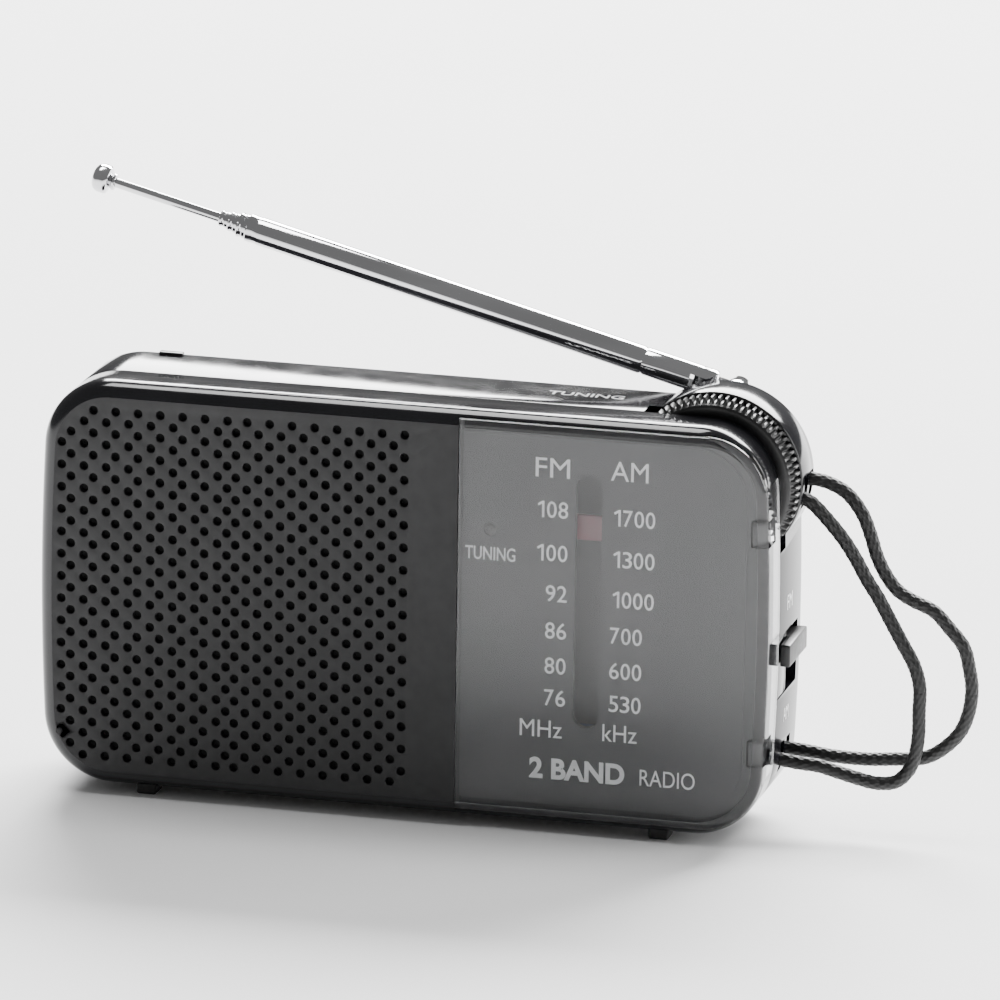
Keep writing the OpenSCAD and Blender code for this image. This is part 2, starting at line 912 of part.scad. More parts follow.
module cord_pulley() {
    groove = pulley_r - cord_r - running;
    flange = pulley_r + pulley_lip;
    side = cord_r + groove_gap;
    end = side + flange_t;
    color([0.8, 0.8, 0.78])
        translate([pulley_x, cord_y, pulley_z])
            rotate([-90, 0, 0])
                rotate_extrude($fn = 48)
                    polygon([
                        [post_r, -end], [flange, -end], [flange, -side],
                        [groove, -side], [groove, side], [flange, side],
                        [flange, end], [post_r, end]
                    ]);
}

module pulley_post() {
    color([0.75, 0.75, 0.76])
        bar_y(pulley_x, pulley_z, post_r, dial_rear, cord_y + 1.2);
}

module pointer_rail() {
    end = 2;
    low = slot_z - slot_len / 2 - end - 1;
    high = slot_z + slot_len / 2 + end + 1;
    color([0.75, 0.75, 0.76]) {
        translate([rail_x, rail_y, low])
            cylinder(r = rail_r, h = high - low);
        for (z = [low, high - end])
            block([rail_x - end / 2, dial_rear, z], [rail_x + end / 2, rail_y, z + end]);
    }
}

module dial_pointer() {
    low = pointer_z - pointer_h / 2;
    high = pointer_z + pointer_h / 2;
    overlap = 0.6;
    hub = 1.4;
    arm = 1;
    color([0.75, 0.15, 0.18])
        difference() {
            union() {
                block([slot_x - slot_w / 2 - overlap, pointer_y, low], [rail_x + hub, pointer_y + pointer_t, high]);
                block([rail_x - hub, pointer_y, low], [rail_x + hub, rail_y + hub, high]);
                block([rail_x - hub, rail_y, pointer_z - arm], [cord_x, cord_y + overlap, pointer_z + arm]);
            }
            translate([rail_x, rail_y, low - 1])
                cylinder(r = rail_r + running, h = pointer_h + 2);
            translate([cord_x, cord_y, low - 1])
                cylinder(r = cord_r + running, h = pointer_h + 2);
        }
}

// ---- Controls on the sides ------------------------------------------------

module volume_wheel() {
    color([0.12, 0.12, 0.13])
        difference() {
            translate([volume_x, 0, volume_z])
                slab(volume_y, volume_y + volume_t)
                    polygon(toothed(volume_r, volume_r - volume_depth, volume_grooves, 0.5));
            bar_y(volume_x, volume_z, volume_shaft_r, volume_y - 1, volume_y + volume_t + 1);
        }
}

module volume_screw() {
    color([0.8, 0.65, 0.35]) {
        bar_y(volume_x, volume_z, volume_shaft_r, volume_y, volume_y + volume_t + volume_reach);
        bar_y(volume_x, volume_z, volume_shaft_r + 1, volume_y - head_t, volume_y);
    }
}

module volume_control() {
    front = volume_y + volume_t + 0.4;
    half = 5.4;
    deep = 5;
    color([0.45, 0.3, 0.15])
        difference() {
            block([volume_x - half, front, volume_z - half], [volume_x + half, front + deep, volume_z + half]);
            bar_y(volume_x, volume_z, volume_shaft_r + running, front - 1, front + volume_reach + 0.5);
        }
}

module band_knob() {
    face = half_w - side_crown;
    mid_y = (slot_front + recess_rear) / 2;
    color([0.12, 0.12, 0.13]) {
        block(
            [face - slider_t, slot_front + clear, slider_z1 - slider_h],
            [face, recess_rear - clear, slider_z1]
        );
        block(
            [face + clear, parting_y + clear, knob_z - knob_h / 2],
            [half_w + knob_proud, recess_rear - clear, knob_z + knob_h / 2]
        );
        block(
            [face - skin, slot_front + clear, knob_z - knob_h / 2],
            [face + clear + skin, recess_rear - clear, knob_z + knob_h / 2]
        );
        block(
            [face - slider_t - 2, mid_y - stalk_w / 2, knob_z - 1],
            [face - slider_t + skin, mid_y + stalk_w / 2, knob_z + 1]
        );
    }
}

module band_switch() {
    back = half_w - side_crown - slider_t - clear;
    mid_y = (slot_front + recess_rear) / 2;
    color([0.6, 0.6, 0.62])
        difference() {
            block([back - 5, slot_front + clear, recess_z0], [back, board_front, recess_z1]);
            block(
                [back - 2.4, mid_y - stalk_w / 2 - clear, knob_z - knob_travel - 1 - clear],
                [back + 1, mid_y + stalk_w / 2 + clear, knob_z + 1 + clear]
            );
        }
}

module earphone_jack() {
    x0 = -half_w + 0.8;
    body_x = x0 + jack_collar_len - 0.5;
    half = jack_body / 2;
    color([0.1, 0.1, 0.1])
        difference() {
            union() {
                block([body_x, jack_y - half, jack_z - half], [x0 + jack_len + 1, jack_y + half, jack_z + half]);
                bar_x(jack_y, jack_z, jack_collar_r, x0, x0 + jack_collar_len);
            }
            bar_x(jack_y, jack_z, jack_r, x0 - 1, x0 + jack_len);
        }
}

// ---- Batteries ------------------------------------------------------------

// Height of each of the two cells
function cell_z(i) = bay_bottom + cell_gap + cell_d / 2 + i * (cell_d + cell_gap);

module battery_cells() {
    start = bay_left + bay_contact;
    color([0.2, 0.25, 0.3])
        for (i = [0, 1])
            let (
                low = i == 0 ? start : start + cell_nub,
                tip = i == 0 ? start + cell_len - cell_nub : start
            ) {
                bar_x(cell_y, cell_z(i), cell_d / 2, low, low + cell_len - cell_nub);
                bar_x(cell_y, cell_z(i), cell_nub_r, tip, tip + cell_nub);
            }
}

module battery_springs() {
    spring_r = 4;
    wire = 0.8;
    color([0.8, 0.8, 0.82])
        for (i = [0, 1])
            let (x = i == 0 ? bay_left + plate_t : bay_right - bay_contact)
                translate([x, cell_y, cell_z(i)])
                    rotate([0, 90, 0])
                        difference() {
                            cylinder(r = spring_r, h = bay_contact - plate_t);
                            translate([0, 0, -1])
                                cylinder(r = spring_r - wire, h = bay_contact + 2);
                        }
}

module battery_plates() {
    half = 5;
    color([0.8, 0.8, 0.82])
        for (x = [bay_left, bay_right - plate_t], i = [0, 1])
            block([x, cell_y - half, cell_z(i) - half], [x + plate_t, cell_y + half, cell_z(i) + half]);
}

// ---- Antenna --------------------------------------------------------------

module antenna_base() {
    stem_end = rebate_y - antenna_y - stem_len;
    color([0.8, 0.8, 0.83])
        along_rod()
            difference() {
                union() {
                    bar_y(0, 0, barrel_r, -barrel_w / 2, barrel_w / 2);
                    bar_y(0, 0, stem_r, stem_end, 0);
                    bar_y(0, 0, rivet_r, stem_end - rivet_t, stem_end);
                    block([0, -tongue_r, -tongue_t / 2], [fork_at, tongue_r, tongue_t / 2]);
                    translate([fork_at, 0, -tongue_t / 2])
                        cylinder(r = tongue_r, h = tongue_t);
                }
                translate([fork_at, 0, -5])
                    cylinder(r = pin_r + running, h = 10);
            }
}

module antenna_fork() {
    slot = tongue_t / 2 + 0.1;
    color([0.8, 0.8, 0.83])
        along_rod()
            difference() {
                intersection() {
                    rod_bar(tube_r, fork_at - ear_r, tube_start);
                    union() {
                        translate([fork_at, 0, -5])
                            cylinder(r = ear_r, h = 10);
                        block([fork_at, -5, -5], [tube_start, 5, 5]);
                    }
                }
                block([0, -5, -slot], [fork_at + tongue_r + clear, 5, slot]);
                translate([fork_at, 0, -5])
                    cylinder(r = pin_r, h = 10);
            }
}

module antenna_pin() {
    color([0.7, 0.7, 0.72])
        along_rod()
            translate([fork_at, 0, -tube_r + 0.2])
                cylinder(r = pin_r, h = 2 * tube_r - 0.4);
}

module antenna_tube_1() {
    color([0.82, 0.82, 0.85])
        along_rod()
            rod_tube(tube_r, tube_r - tube_wall, tube_start, tube_end);
}

module antenna_tube_2() {
    color([0.82, 0.82, 0.85])
        along_rod()
            rod_tube(second_r, third_r + running, tube_start + nest, tube_end + collar);
}

module antenna_tube_3() {
    color([0.82, 0.82, 0.85])
        along_rod()
            rod_tube(third_r, fourth_r + running, tube_start + 2 * nest, tube_end + 2 * collar);
}

module antenna_tube_4() {
    color([0.82, 0.82, 0.85])
        along_rod()
            rod_tube(fourth_r, rod_r + running, tube_start + 3 * nest, closed_end);
}

module antenna_rod() {
    color([0.82, 0.82, 0.85])
        along_rod()
            rod_bar(rod_r, tube_start + 4 * nest + rod_out, closed_end + rod_out);
}

module antenna_tip() {
    r = tip_d / 2;
    color([0.82, 0.82, 0.85])
        along_rod()
            translate([closed_end + rod_out, 0, 0])
                rotate([0, 90, 0])
                    rotate_extrude($fn = 48)
                        polygon([
                            [0, 0], [1.6, 0], [1.6, 0.8], [r - 0.3, 1.2], [r, 1.6],
                            [r, tip_len - 0.9], [r - 0.8, tip_len - 0.2], [0, tip_len]
                        ]);
}

// ---- Strap ----------------------------------------------------------------

function unit(v) = v / norm(v);

// A round tube swept along a list of points, as one closed polyhedron
module swept_tube(route, r, sides) {
    n = len(route);
    points = [
        for (i = [0:n - 1])
            let (
                ahead = route[min(i + 1, n - 1)] - route[max(i - 1, 0)],
                dir = unit(ahead),
                across = unit(cross(dir, [0.1, 1, 0.2])),
                up = cross(across, dir)
            )
                for (k = [0:sides - 1])
                    route[i] + r * cos(360 * k / sides) * across + r * sin(360 * k / sides) * up
    ];
    tube_mesh(points, sides, false);
}

module strap_cord() {
    color([0.1, 0.1, 0.1])
        swept_tube(strap_route, strap_d / 2, strap_sides);
}

module strap_knots() {
    color([0.1, 0.1, 0.1])
        for (p = [strap_route[0], strap_route[len(strap_route) - 1]])
            translate(p - [0.3, 0, 0])
                sphere(r = knot_r);
}

front_shell();
speaker_grille();
rear_shell();
battery_door();
rubber_feet();
case_screws();
dial_window();
dial_plate();
power_lamp();
speaker_frame();
speaker_cone();
speaker_cap();
speaker_magnet();
circuit_board();
tuning_capacitor();
if_cans();
electrolytics();
amplifier_chip();
ferrite_rod();
ferrite_coil();
tuning_wheel();
cord_drum();
tuning_screw();
dial_cord();
cord_pulley();
pulley_post();
pointer_rail();
dial_pointer();
volume_wheel();
volume_screw();
volume_control();
band_knob();
band_switch();
earphone_jack();
battery_cells();
battery_springs();
battery_plates();
antenna_base();
antenna_fork();
antenna_pin();
antenna_tube_1();
antenna_tube_2();
antenna_tube_3();
antenna_tube_4();
antenna_rod();
antenna_tip();
strap_cord();
strap_knots();
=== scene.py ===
import json
import math

import bmesh
import bpy
from mathutils import Matrix, Vector
from mathutils.geometry import delaunay_2d_cdt


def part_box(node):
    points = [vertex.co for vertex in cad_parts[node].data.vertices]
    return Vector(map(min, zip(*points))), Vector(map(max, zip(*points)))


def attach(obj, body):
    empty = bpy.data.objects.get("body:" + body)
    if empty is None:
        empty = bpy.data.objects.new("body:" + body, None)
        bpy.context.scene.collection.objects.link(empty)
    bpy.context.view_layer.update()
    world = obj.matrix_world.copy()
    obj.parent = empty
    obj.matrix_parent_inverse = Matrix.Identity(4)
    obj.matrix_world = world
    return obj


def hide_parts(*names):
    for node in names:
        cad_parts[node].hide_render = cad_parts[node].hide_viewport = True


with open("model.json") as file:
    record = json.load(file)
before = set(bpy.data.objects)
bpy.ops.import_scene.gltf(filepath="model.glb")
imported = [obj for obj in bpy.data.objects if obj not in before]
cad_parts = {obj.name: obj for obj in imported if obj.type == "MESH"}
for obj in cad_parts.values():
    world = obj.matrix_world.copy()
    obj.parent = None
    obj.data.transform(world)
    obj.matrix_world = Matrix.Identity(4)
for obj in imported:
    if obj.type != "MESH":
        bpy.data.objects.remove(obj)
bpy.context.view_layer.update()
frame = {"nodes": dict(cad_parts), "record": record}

MM = 0.001
CLEAR, CLEAR_REAR = 90, 40    # millimetres, well outside the case


def mm_box(node):
    """Lowest and highest corner of a CAD node, in millimetres."""
    low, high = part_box(node)
    return Vector(low) / MM, Vector(high) / MM


# ---- Sizes, in millimetres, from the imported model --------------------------

front_low, front_high = mm_box("front_shell")
rear_low, rear_high = mm_box("rear_shell")
panel_high = mm_box("speaker_grille")[1]
window_low = mm_box("dial_window")[0]
plate_low, plate_high = mm_box("dial_plate")
wheel_low, wheel_high = mm_box("tuning_wheel")
door_low, door_high = mm_box("battery_door")
knob_low, knob_high = mm_box("band_knob")
pointer_low, pointer_high = mm_box("dial_pointer")
lamp_low, lamp_high = mm_box("power_lamp")
volume_low, volume_high = mm_box("volume_wheel")
jack_low, jack_high = mm_box("earphone_jack")

half_w = -rear_low.x
front_y = front_low.y
parting_y = front_high.y
rear_y = rear_high.y
case_bottom = front_low.z
case_top = front_high.z
mid_z = (case_bottom + case_top) / 2
half_h = (case_top - case_bottom) / 2
wheel_x = (wheel_low.x + wheel_high.x) / 2
wheel_z = (wheel_low.z + wheel_high.z) / 2
wheel_r = (wheel_high.x - wheel_low.x) / 2
wheel_front, wheel_rear = wheel_low.y, wheel_high.y
joints = {j["name"]: j for j in frame["record"]["behaviour"]["joints"]}
pivot = Vector(joints["antenna_turn"]["pos_m"]) / MM
rod_axis = Vector(joints["antenna_slide_2"]["axis"]).normalized()

CORNER = 11.5
CROWN = 1.2
FRONT_FILLET = 2.9
REAR_FILLET = 3.4
WALL = 1.6
PANEL_EDGE = 2.4
WINDOW_MARGIN = 1.1
PITCH = 3.7
HOLE_R = 0.7
SLOT_REAR = wheel_rear + 0.3
SLOT_R = wheel_r + 1.6
REBATE_Y = rear_y - 5.4
REBATE_Z = case_top - 2.8
STRAP_D = 2.1
STRAP_Y = (1.4, 5.2)
STRAP_SLOT = 1.25    # half the width of a strap slot
SCREW_SINK = 4.0    # depth of a screw's counterbore

# ---- Camera ---------------------------------------------------------------

camera = bpy.data.objects.new("camera", bpy.data.cameras.new("camera"))
bpy.context.scene.collection.objects.link(camera)
bpy.context.scene.camera = camera
camera.data.sensor_width = 36
camera.data.lens = 366.6
camera.data.clip_end = 20
right = Vector((0.96821, 0.24974, 0.01429)).normalized()
forward = Vector((-0.23743, 0.93548, -0.26173)).normalized()
up = right.cross(forward)
camera.matrix_world = Matrix(
    (
        (right.x, up.x, -forward.x, 0.3984),
        (right.y, up.y, -forward.y, -1.5189),
        (right.z, up.z, -forward.z, 0.4757),
        (0, 0, 0, 1),
    )
)

# ---- Materials ------------------------------------------------------------


class Nodes:
    """A material's node tree, with the few steps that every finish shares."""

    def __init__(self, name):
        self.material = bpy.data.materials.new(name)
        self.material.use_nodes = True
        self.tree = self.material.node_tree
        self.tree.nodes.clear()
        self.output = self.add("ShaderNodeOutputMaterial")
        self.coords = self.add("ShaderNodeTexCoord").outputs["Object"]

    def add(self, kind, **values):
        node = self.tree.nodes.new(kind)
        for key, value in values.items():
            setattr(node, key, value)
        return node

    def link(self, a, b):
        self.tree.links.new(a, b)

    def noise(self, scale, detail=3.0, stretch=None):
        source = self.coords
        if stretch:
            mapping = self.add("ShaderNodeMapping")
            mapping.inputs["Scale"].default_value = stretch
            self.link(source, mapping.inputs["Vector"])
            source = mapping.outputs["Vector"]
        node = self.add("ShaderNodeTexNoise")
        node.inputs["Scale"].default_value = scale
        node.inputs["Detail"].default_value = detail
        self.link(source, node.inputs["Vector"])
        return node.outputs["Fac"]

    def ramp(self, source, low, high, at=(0.35, 0.65)):
        node = self.add("ShaderNodeValToRGB")
        first, last = node.color_ramp.elements
        first.position, last.position = at
        first.color = (*low, 1)
        last.color = (*high, 1)
        self.link(source, node.inputs["Fac"])
        return node.outputs["Color"]

    def range(self, source, low, high):
        node = self.add("ShaderNodeMapRange")
        node.inputs["From Min"].default_value = 0.3
        node.inputs["From Max"].default_value = 0.7
        node.inputs["To Min"].default_value = low
        node.inputs["To Max"].default_value = high
        self.link(source, node.inputs["Value"])
        return node.outputs["Result"]

    def bump(self, source, strength, distance):
        node = self.add("ShaderNodeBump")
        node.inputs["Strength"].default_value = strength
        node.inputs["Distance"].default_value = distance
        self.link(source, node.inputs["Height"])
        return node.outputs["Normal"]

    def principled(self, colour, rough, normal=None, **values):
        node = self.add("ShaderNodeBsdfPrincipled")
        self.link(colour, node.inputs["Base Color"])
        self.link(rough, node.inputs["Roughness"])
        if normal is not None:
            self.link(normal, node.inputs["Normal"])
        for key, value in values.items():
            node.inputs[key.replace("_", " ")].default_value = value
        return node


def finish_material(
    name,
    low,
    high,
    rough,
    patch=120.0,
    grain=2500.0,
    grain_strength=0.1,
    grain_depth=0.00002,
    stretch=None,
    **values,
):
    """A surface whose colour and gloss drift in patches, over a fine grain."""
    n = Nodes(name)
    patches = n.noise(patch, 4.0, stretch)
    fine = n.noise(grain, 2.0, stretch)
    shader = n.principled(
        n.ramp(patches, low, high),
        n.range(n.noise(patch * 3.7, 5.0, stretch), *rough),
        n.bump(fine, grain_strength, grain_depth),
        **values,
    )
    n.link(shader.outputs[0], n.output.inputs["Surface"])
    return n.material


def glass_material(name):
    """Clear polished plastic that lets the lamps through."""
    n = Nodes(name)
    shader = n.principled(
        n.ramp(n.noise(90, 2), (0.97, 0.98, 0.985), (0.99, 0.99, 1.0)),
        n.range(n.noise(700, 4), 0.0, 0.002),
        n.bump(n.noise(40, 1), 0.002, 0.00002),
        Transmission_Weight=1.0,
        IOR=1.4,
    )
    clear = n.add("ShaderNodeBsdfTransparent")
    mix = n.add("ShaderNodeMixShader")
    n.link(n.add("ShaderNodeLightPath").outputs["Is Shadow Ray"], mix.inputs[0])
    n.link(shader.outputs[0], mix.inputs[1])
    n.link(clear.outputs[0], mix.inputs[2])
    n.link(mix.outputs[0], n.output.inputs["Surface"])
    return n.material


def grey(v, tint=0.0):
    return v, v, v * (1 + tint)


materials = {
    "case_black": finish_material(
        "case_black", grey(0.004, 0.25), grey(0.007, 0.25), (0.1, 0.16),
        patch=70, grain=900, grain_strength=0.03,
    ),
    "panel_black": finish_material(
        "panel_black", grey(0.006, 0.1), grey(0.009, 0.1), (0.5, 0.6),
        patch=160, grain=5200, grain_strength=0.15, grain_depth=0.00003,
    ),
    "control_black": finish_material(
        "control_black", grey(0.004, 0.05), grey(0.008, 0.05), (0.28, 0.38),
        patch=200, grain=3800, grain_strength=0.08,
    ),
    "foot_black": finish_material(
        "foot_black", grey(0.012), grey(0.02), (0.65, 0.8), patch=300, grain=3000, grain_strength=0.3,
    ),
    "window_clear": glass_material("window_clear"),
    "dial_grey": finish_material(
        "dial_grey", grey(0.024, 0.08), grey(0.028, 0.08), (0.5, 0.58),
        patch=60, grain=900, grain_strength=0.02,
    ),
    "print_white": finish_material(
        "print_white", grey(0.78), grey(0.88), (0.4, 0.5), patch=600, grain=5000, grain_strength=0.1,
    ),
    "pointer_red": finish_material(
        "pointer_red", (0.14, 0.018, 0.03), (0.17, 0.026, 0.04), (0.3, 0.4),
        patch=260, grain=2600, Subsurface_Weight=0.15, Subsurface_Radius=(0.002, 0.001, 0.001),
        Subsurface_Scale=0.5,
    ),
    "lamp_dark": finish_material(
        "lamp_dark", (0.003, 0.002, 0.002), (0.006, 0.003, 0.003), (0.3, 0.4), patch=900, grain=3000,
    ),
    "steel": finish_material(
        "steel", grey(0.45), grey(0.58), (0.28, 0.42), patch=250, grain=2600,
        grain_strength=0.2, Metallic=1.0,
    ),
    "chrome": finish_material(
        "chrome", grey(0.62, 0.02), grey(0.72, 0.02), (0.05, 0.12), patch=140, grain=1500,
        grain_strength=0.04, stretch=(0.25, 1, 1), Metallic=1.0,
    ),
    "brass": finish_material(
        "brass", (0.5, 0.36, 0.14), (0.62, 0.46, 0.2), (0.22, 0.36), patch=250, grain=2600, Metallic=1.0,
    ),
    "magnet_dark": finish_material(
        "magnet_dark", grey(0.03), grey(0.06), (0.55, 0.75), patch=160, grain=1800, grain_strength=0.4,
    ),
    "cone_paper": finish_material(
        "cone_paper", grey(0.006), grey(0.01), (0.8, 0.95), patch=300, grain=1400, grain_strength=0.5,
    ),
    "board_brown": finish_material(
        "board_brown", (0.2, 0.11, 0.045), (0.27, 0.16, 0.07), (0.45, 0.6), patch=120, grain=1800,
        stretch=(1, 1, 6),
    ),
    "part_pale": finish_material(
        "part_pale", grey(0.6), grey(0.7), (0.4, 0.5), patch=200, grain=2200,
    ),
    "part_dark": finish_material(
        "part_dark", grey(0.025), grey(0.045), (0.35, 0.5), patch=250, grain=2400,
    ),
    "coil_copper": finish_material(
        "coil_copper", (0.4, 0.16, 0.06), (0.55, 0.24, 0.1), (0.25, 0.4), patch=500, grain=1500,
        grain_strength=0.6, stretch=(8, 1, 1), Metallic=1.0,
    ),
    "cell_wrap": finish_material(
        "cell_wrap", (0.03, 0.05, 0.1), (0.05, 0.075, 0.13), (0.2, 0.32), patch=150, grain=1500,
    ),
    "string_pale": finish_material(
        "string_pale", (0.5, 0.44, 0.3), (0.62, 0.56, 0.4), (0.6, 0.8), patch=900, grain=3000,
        grain_strength=0.5,
    ),
    "strap_black": finish_material(
        "strap_black", grey(0.002), grey(0.006), (0.42, 0.6), patch=1500, grain=6000,
        grain_strength=0.4, grain_depth=0.00004,
    ),
}

# ---- Mesh helpers ---------------------------------------------------------


def add_object(name, mesh):
    piece = bpy.data.objects.new(name, mesh)
    bpy.context.scene.collection.objects.link(piece)
    return piece


def build(name, verts, faces):
    """An object from millimetre points, with its normals turned outwards."""
    mesh = bpy.data.meshes.new(name)
    bm = bmesh.new()
    points = [bm.verts.new(Vector(v) * MM) for v in verts]
    for f in faces:
        corners = [points[i] for i in f]
        if len(set(corners)) == len(corners):
            try:
                bm.faces.new(corners)
            except ValueError:
                pass
    bmesh.ops.remove_doubles(bm, verts=bm.verts, dist=1e-7)
    bmesh.ops.dissolve_degenerate(bm, dist=1e-7, edges=bm.edges)
    bmesh.ops.recalc_face_normals(bm, faces=bm.faces)
    bm.to_mesh(mesh)
    bm.free()
    return add_object(name, mesh)


def discard(piece):
    mesh = piece.data
    bpy.data.objects.remove(piece)
    bpy.data.meshes.remove(mesh)


def combine(piece, tool, how="DIFFERENCE"):
    """Cuts tool from piece, or joins it on, and deletes tool."""
    change = piece.modifiers.new("combine", "BOOLEAN")
    change.operation = how
    change.solver = "EXACT"
    change.object = tool
    graph = bpy.context.evaluated_depsgraph_get()
    mesh = bpy.data.meshes.new_from_object(piece.evaluated_get(graph))
    piece.modifiers.clear()
    old = piece.data
    piece.data = mesh
    bpy.data.meshes.remove(old)
    discard(tool)
    return piece


def merge(name, parts):
    """Several objects as one, without joining their surfaces."""
    bm = bmesh.new()
    for part in parts:
        bm.from_mesh(part.data)
        discard(part)
    mesh = bpy.data.meshes.new(name)
    bm.to_mesh(mesh)
    bm.free()
    return add_object(name, mesh)


def piece(obj, slot, body, nodes=(), angle=32):
    """Gives a finished object its material, its shading and its body, and hides the CAD nodes it stands for.
    """
    obj.data.materials.clear()
    obj.data.materials.append(materials[slot])
    for p in obj.data.polygons:
        p.material_index = 0
    obj.data.shade_smooth()
    obj.data.set_sharp_from_angle(angle=math.radians(angle))
    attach(obj, body)
    if nodes:
        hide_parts(*nodes)
    return obj


def loft(name, rings, caps=(True, True), loop=False):
    """Rings of equal length joined in order, with flat ends or as a closed loop."""
    n = len(rings[0])
    verts = [p for ring in rings for p in ring]
    faces = []
    last = len(rings) if loop else len(rings) - 1
    for i in range(last):
        a, b = i * n, (i + 1) % len(rings) * n
        for j in range(n):
            k = (j + 1) % n
            faces.append((a + j, a + k, b + k, b + j))
    if caps[0] and not loop:
        faces.append(tuple(range(n)))
    if caps[1] and not loop:
        faces.append(tuple((len(rings) - 1) * n + j for j in reversed(range(n))))
    return build(name, verts, faces)


def outline(inset, corner=26, side=14, shift=0.0):
    """The case's front view as [x, z] points, shrunk by inset."""
    tall = half_h - inset
    side_r = (half_h**2 + CROWN**2) / (2 * CROWN) - inset
    side_x = half_w - inset - side_r
    small = max(CORNER - inset, 1.0)
    corner_z = tall - small
    corner_x = side_x + math.sqrt((side_r - small) ** 2 - corner_z**2)
    turn = math.atan2(corner_z, corner_x - side_x)
    upper = [
        (corner_x + small * math.cos(a), corner_z + small * math.sin(a))
        for a in (turn + (math.pi / 2 - turn) * i / corner for i in range(corner + 1))
    ]
    edge = [
        (side_x + side_r * math.cos(turn * i / side), side_r * math.sin(turn * i / side))
        for i in range(1 - side, side)
    ]
    half = [(x, -z) for x, z in reversed(upper)] + edge + upper
    full = half + [(-x, z) for x, z in reversed(half)]
    return [(x + shift, z + mid_z) for x, z in full]


def ring(points, y):
    return [(x, y, z) for x, z in points]


def arc(radius, y, inset, turn_in=1, steps=9):
    """[inset, y] points of a quarter round that ends on the flat face at y."""
    return [
        (
            inset + radius * (1 - math.cos(math.pi / 2 * i / steps)),
            y + turn_in * radius * (1 - math.sin(math.pi / 2 * i / steps)),
        )
        for i in range(steps + 1)
    ]


def slab(name, points, y0, y1):
    return loft(name, [ring(points, y0), ring(points, y1)])


def block(name, low, high, chamfer=0.0):
    """A box with its edges rounded by chamfer, in three segments."""
    bm = bmesh.new()
    bmesh.ops.create_cube(bm, size=1)
    low, high = Vector(low) * MM, Vector(high) * MM
    for v in bm.verts:
        v.co = Vector(
            (low[i] + (v.co[i] + 0.5) * (high[i] - low[i])) for i in range(3)
        )
    if chamfer:
        bmesh.ops.bevel(
            bm, geom=bm.edges[:], offset=chamfer * MM, segments=3, profile=0.5,
            affect="EDGES", clamp_overlap=True,
        )
    mesh = bpy.data.meshes.new(name)
    bm.to_mesh(mesh)
    bm.free()
    return add_object(name, mesh)


def turned(name, profile, origin, axis, steps=96, side=None):
    """A [radius, height] profile turned about an axis; heights run along the axis."""
    axis = Vector(axis).normalized()
    across = (Vector(side) if side else axis.orthogonal()).normalized()
    other = axis.cross(across)
    origin = Vector(origin)
    rings = [
        [
            origin
            + axis * h
            + (across * math.cos(t) + other * math.sin(t)) * max(r, 1e-5)
            for t in (math.tau * k / steps for k in range(steps))
        ]
        for r, h in profile
    ]
    return loft(name, rings)


def bar_y(name, x, z, r, y0, y1, steps=96):
    return turned(name, [(r, 0), (r, y1 - y0)], (x, y0, z), (0, 1, 0), steps)


# ---- Wrist strap ----------------------------------------------------------

STRAP_ROUTE = [
    (59.4, 5.2, 57.0), (62.4, 5.2, 57.0), (65.5, 5.1, 56.5), (68.5, 4.9, 55.0),
    (71.0, 4.7, 52.0), (72.5, 4.6, 48.5), (73.5, 4.5, 45.5), (75.0, 4.5, 42.5),
    (77.0, 4.5, 40.0), (79.5, 4.5, 38.5), (83.0, 4.5, 37.0), (85.5, 4.5, 34.5),
    (88.0, 4.5, 31.5), (89.0, 4.5, 28.0), (89.5, 4.5, 24.5), (89.0, 4.5, 20.5),
    (87.5, 4.5, 17.0), (84.5, 4.5, 14.0), (81.5, 4.6, 12.5), (77.5, 4.8, 12.0),
    (72.5, 5.0, 11.5), (67.0, 5.2, 11.5), (62.5, 5.2, 12.0), (58.2, 5.2, 12.2),
    (56.6, 4.7, 12.2), (55.9, 3.3, 12.0), (56.6, 1.9, 11.7), (58.2, 1.4, 11.5),
    (62.0, 1.4, 11.0), (65.5, 1.6, 10.7), (68.5, 1.9, 9.9), (72.0, 2.1, 9.0),
    (75.0, 2.2, 8.5), (78.0, 2.2, 9.0), (80.0, 2.2, 11.0), (81.0, 2.2, 13.5),
    (81.5, 2.2, 17.0), (81.5, 2.2, 21.0), (81.5, 2.2, 25.0), (80.5, 2.2, 28.5),
    (78.5, 2.2, 32.0), (76.5, 2.2, 35.5), (74.5, 2.2, 39.0), (72.5, 2.2, 42.0),
    (70.5, 2.1, 45.5), (68.5, 1.9, 48.5), (66.0, 1.6, 51.5), (63.5, 1.4, 54.0),
    (61.5, 1.4, 54.8), (59.4, 1.4, 55.0),
]


def smooth_route(points, per=12):
    """A Catmull-Rom line through the points."""
    pts = [Vector(p) for p in points]
    pts = [2 * pts[0] - pts[1]] + pts + [2 * pts[-1] - pts[-2]]
    line = []
    for i in range(1, len(pts) - 2):
        a, b, c, d = pts[i - 1 : i + 3]
        for k in range(per):
            t = k / per
            line.append(
                0.5 * (2 * b + (c - a) * t + (2 * a - 5 * b + 4 * c - d) * t * t
                       + (3 * b - a - 3 * c + d) * t**3)
            )
    return line + [pts[-2]]


def evenly(line, step):
    """The line again, with points every step along it."""
    lengths = [0.0]
    for a, b in zip(line, line[1:]):
        lengths.append(lengths[-1] + (b - a).length)
    count = round(lengths[-1] / step)
    out, j = [], 0
    for i in range(count + 1):
        s = lengths[-1] * i / count
        while j < len(line) - 2 and lengths[j + 1] < s:
            j += 1
        t = (s - lengths[j]) / (lengths[j + 1] - lengths[j])
        out.append(line[j].lerp(line[j + 1], t))
    return out, lengths[-1]


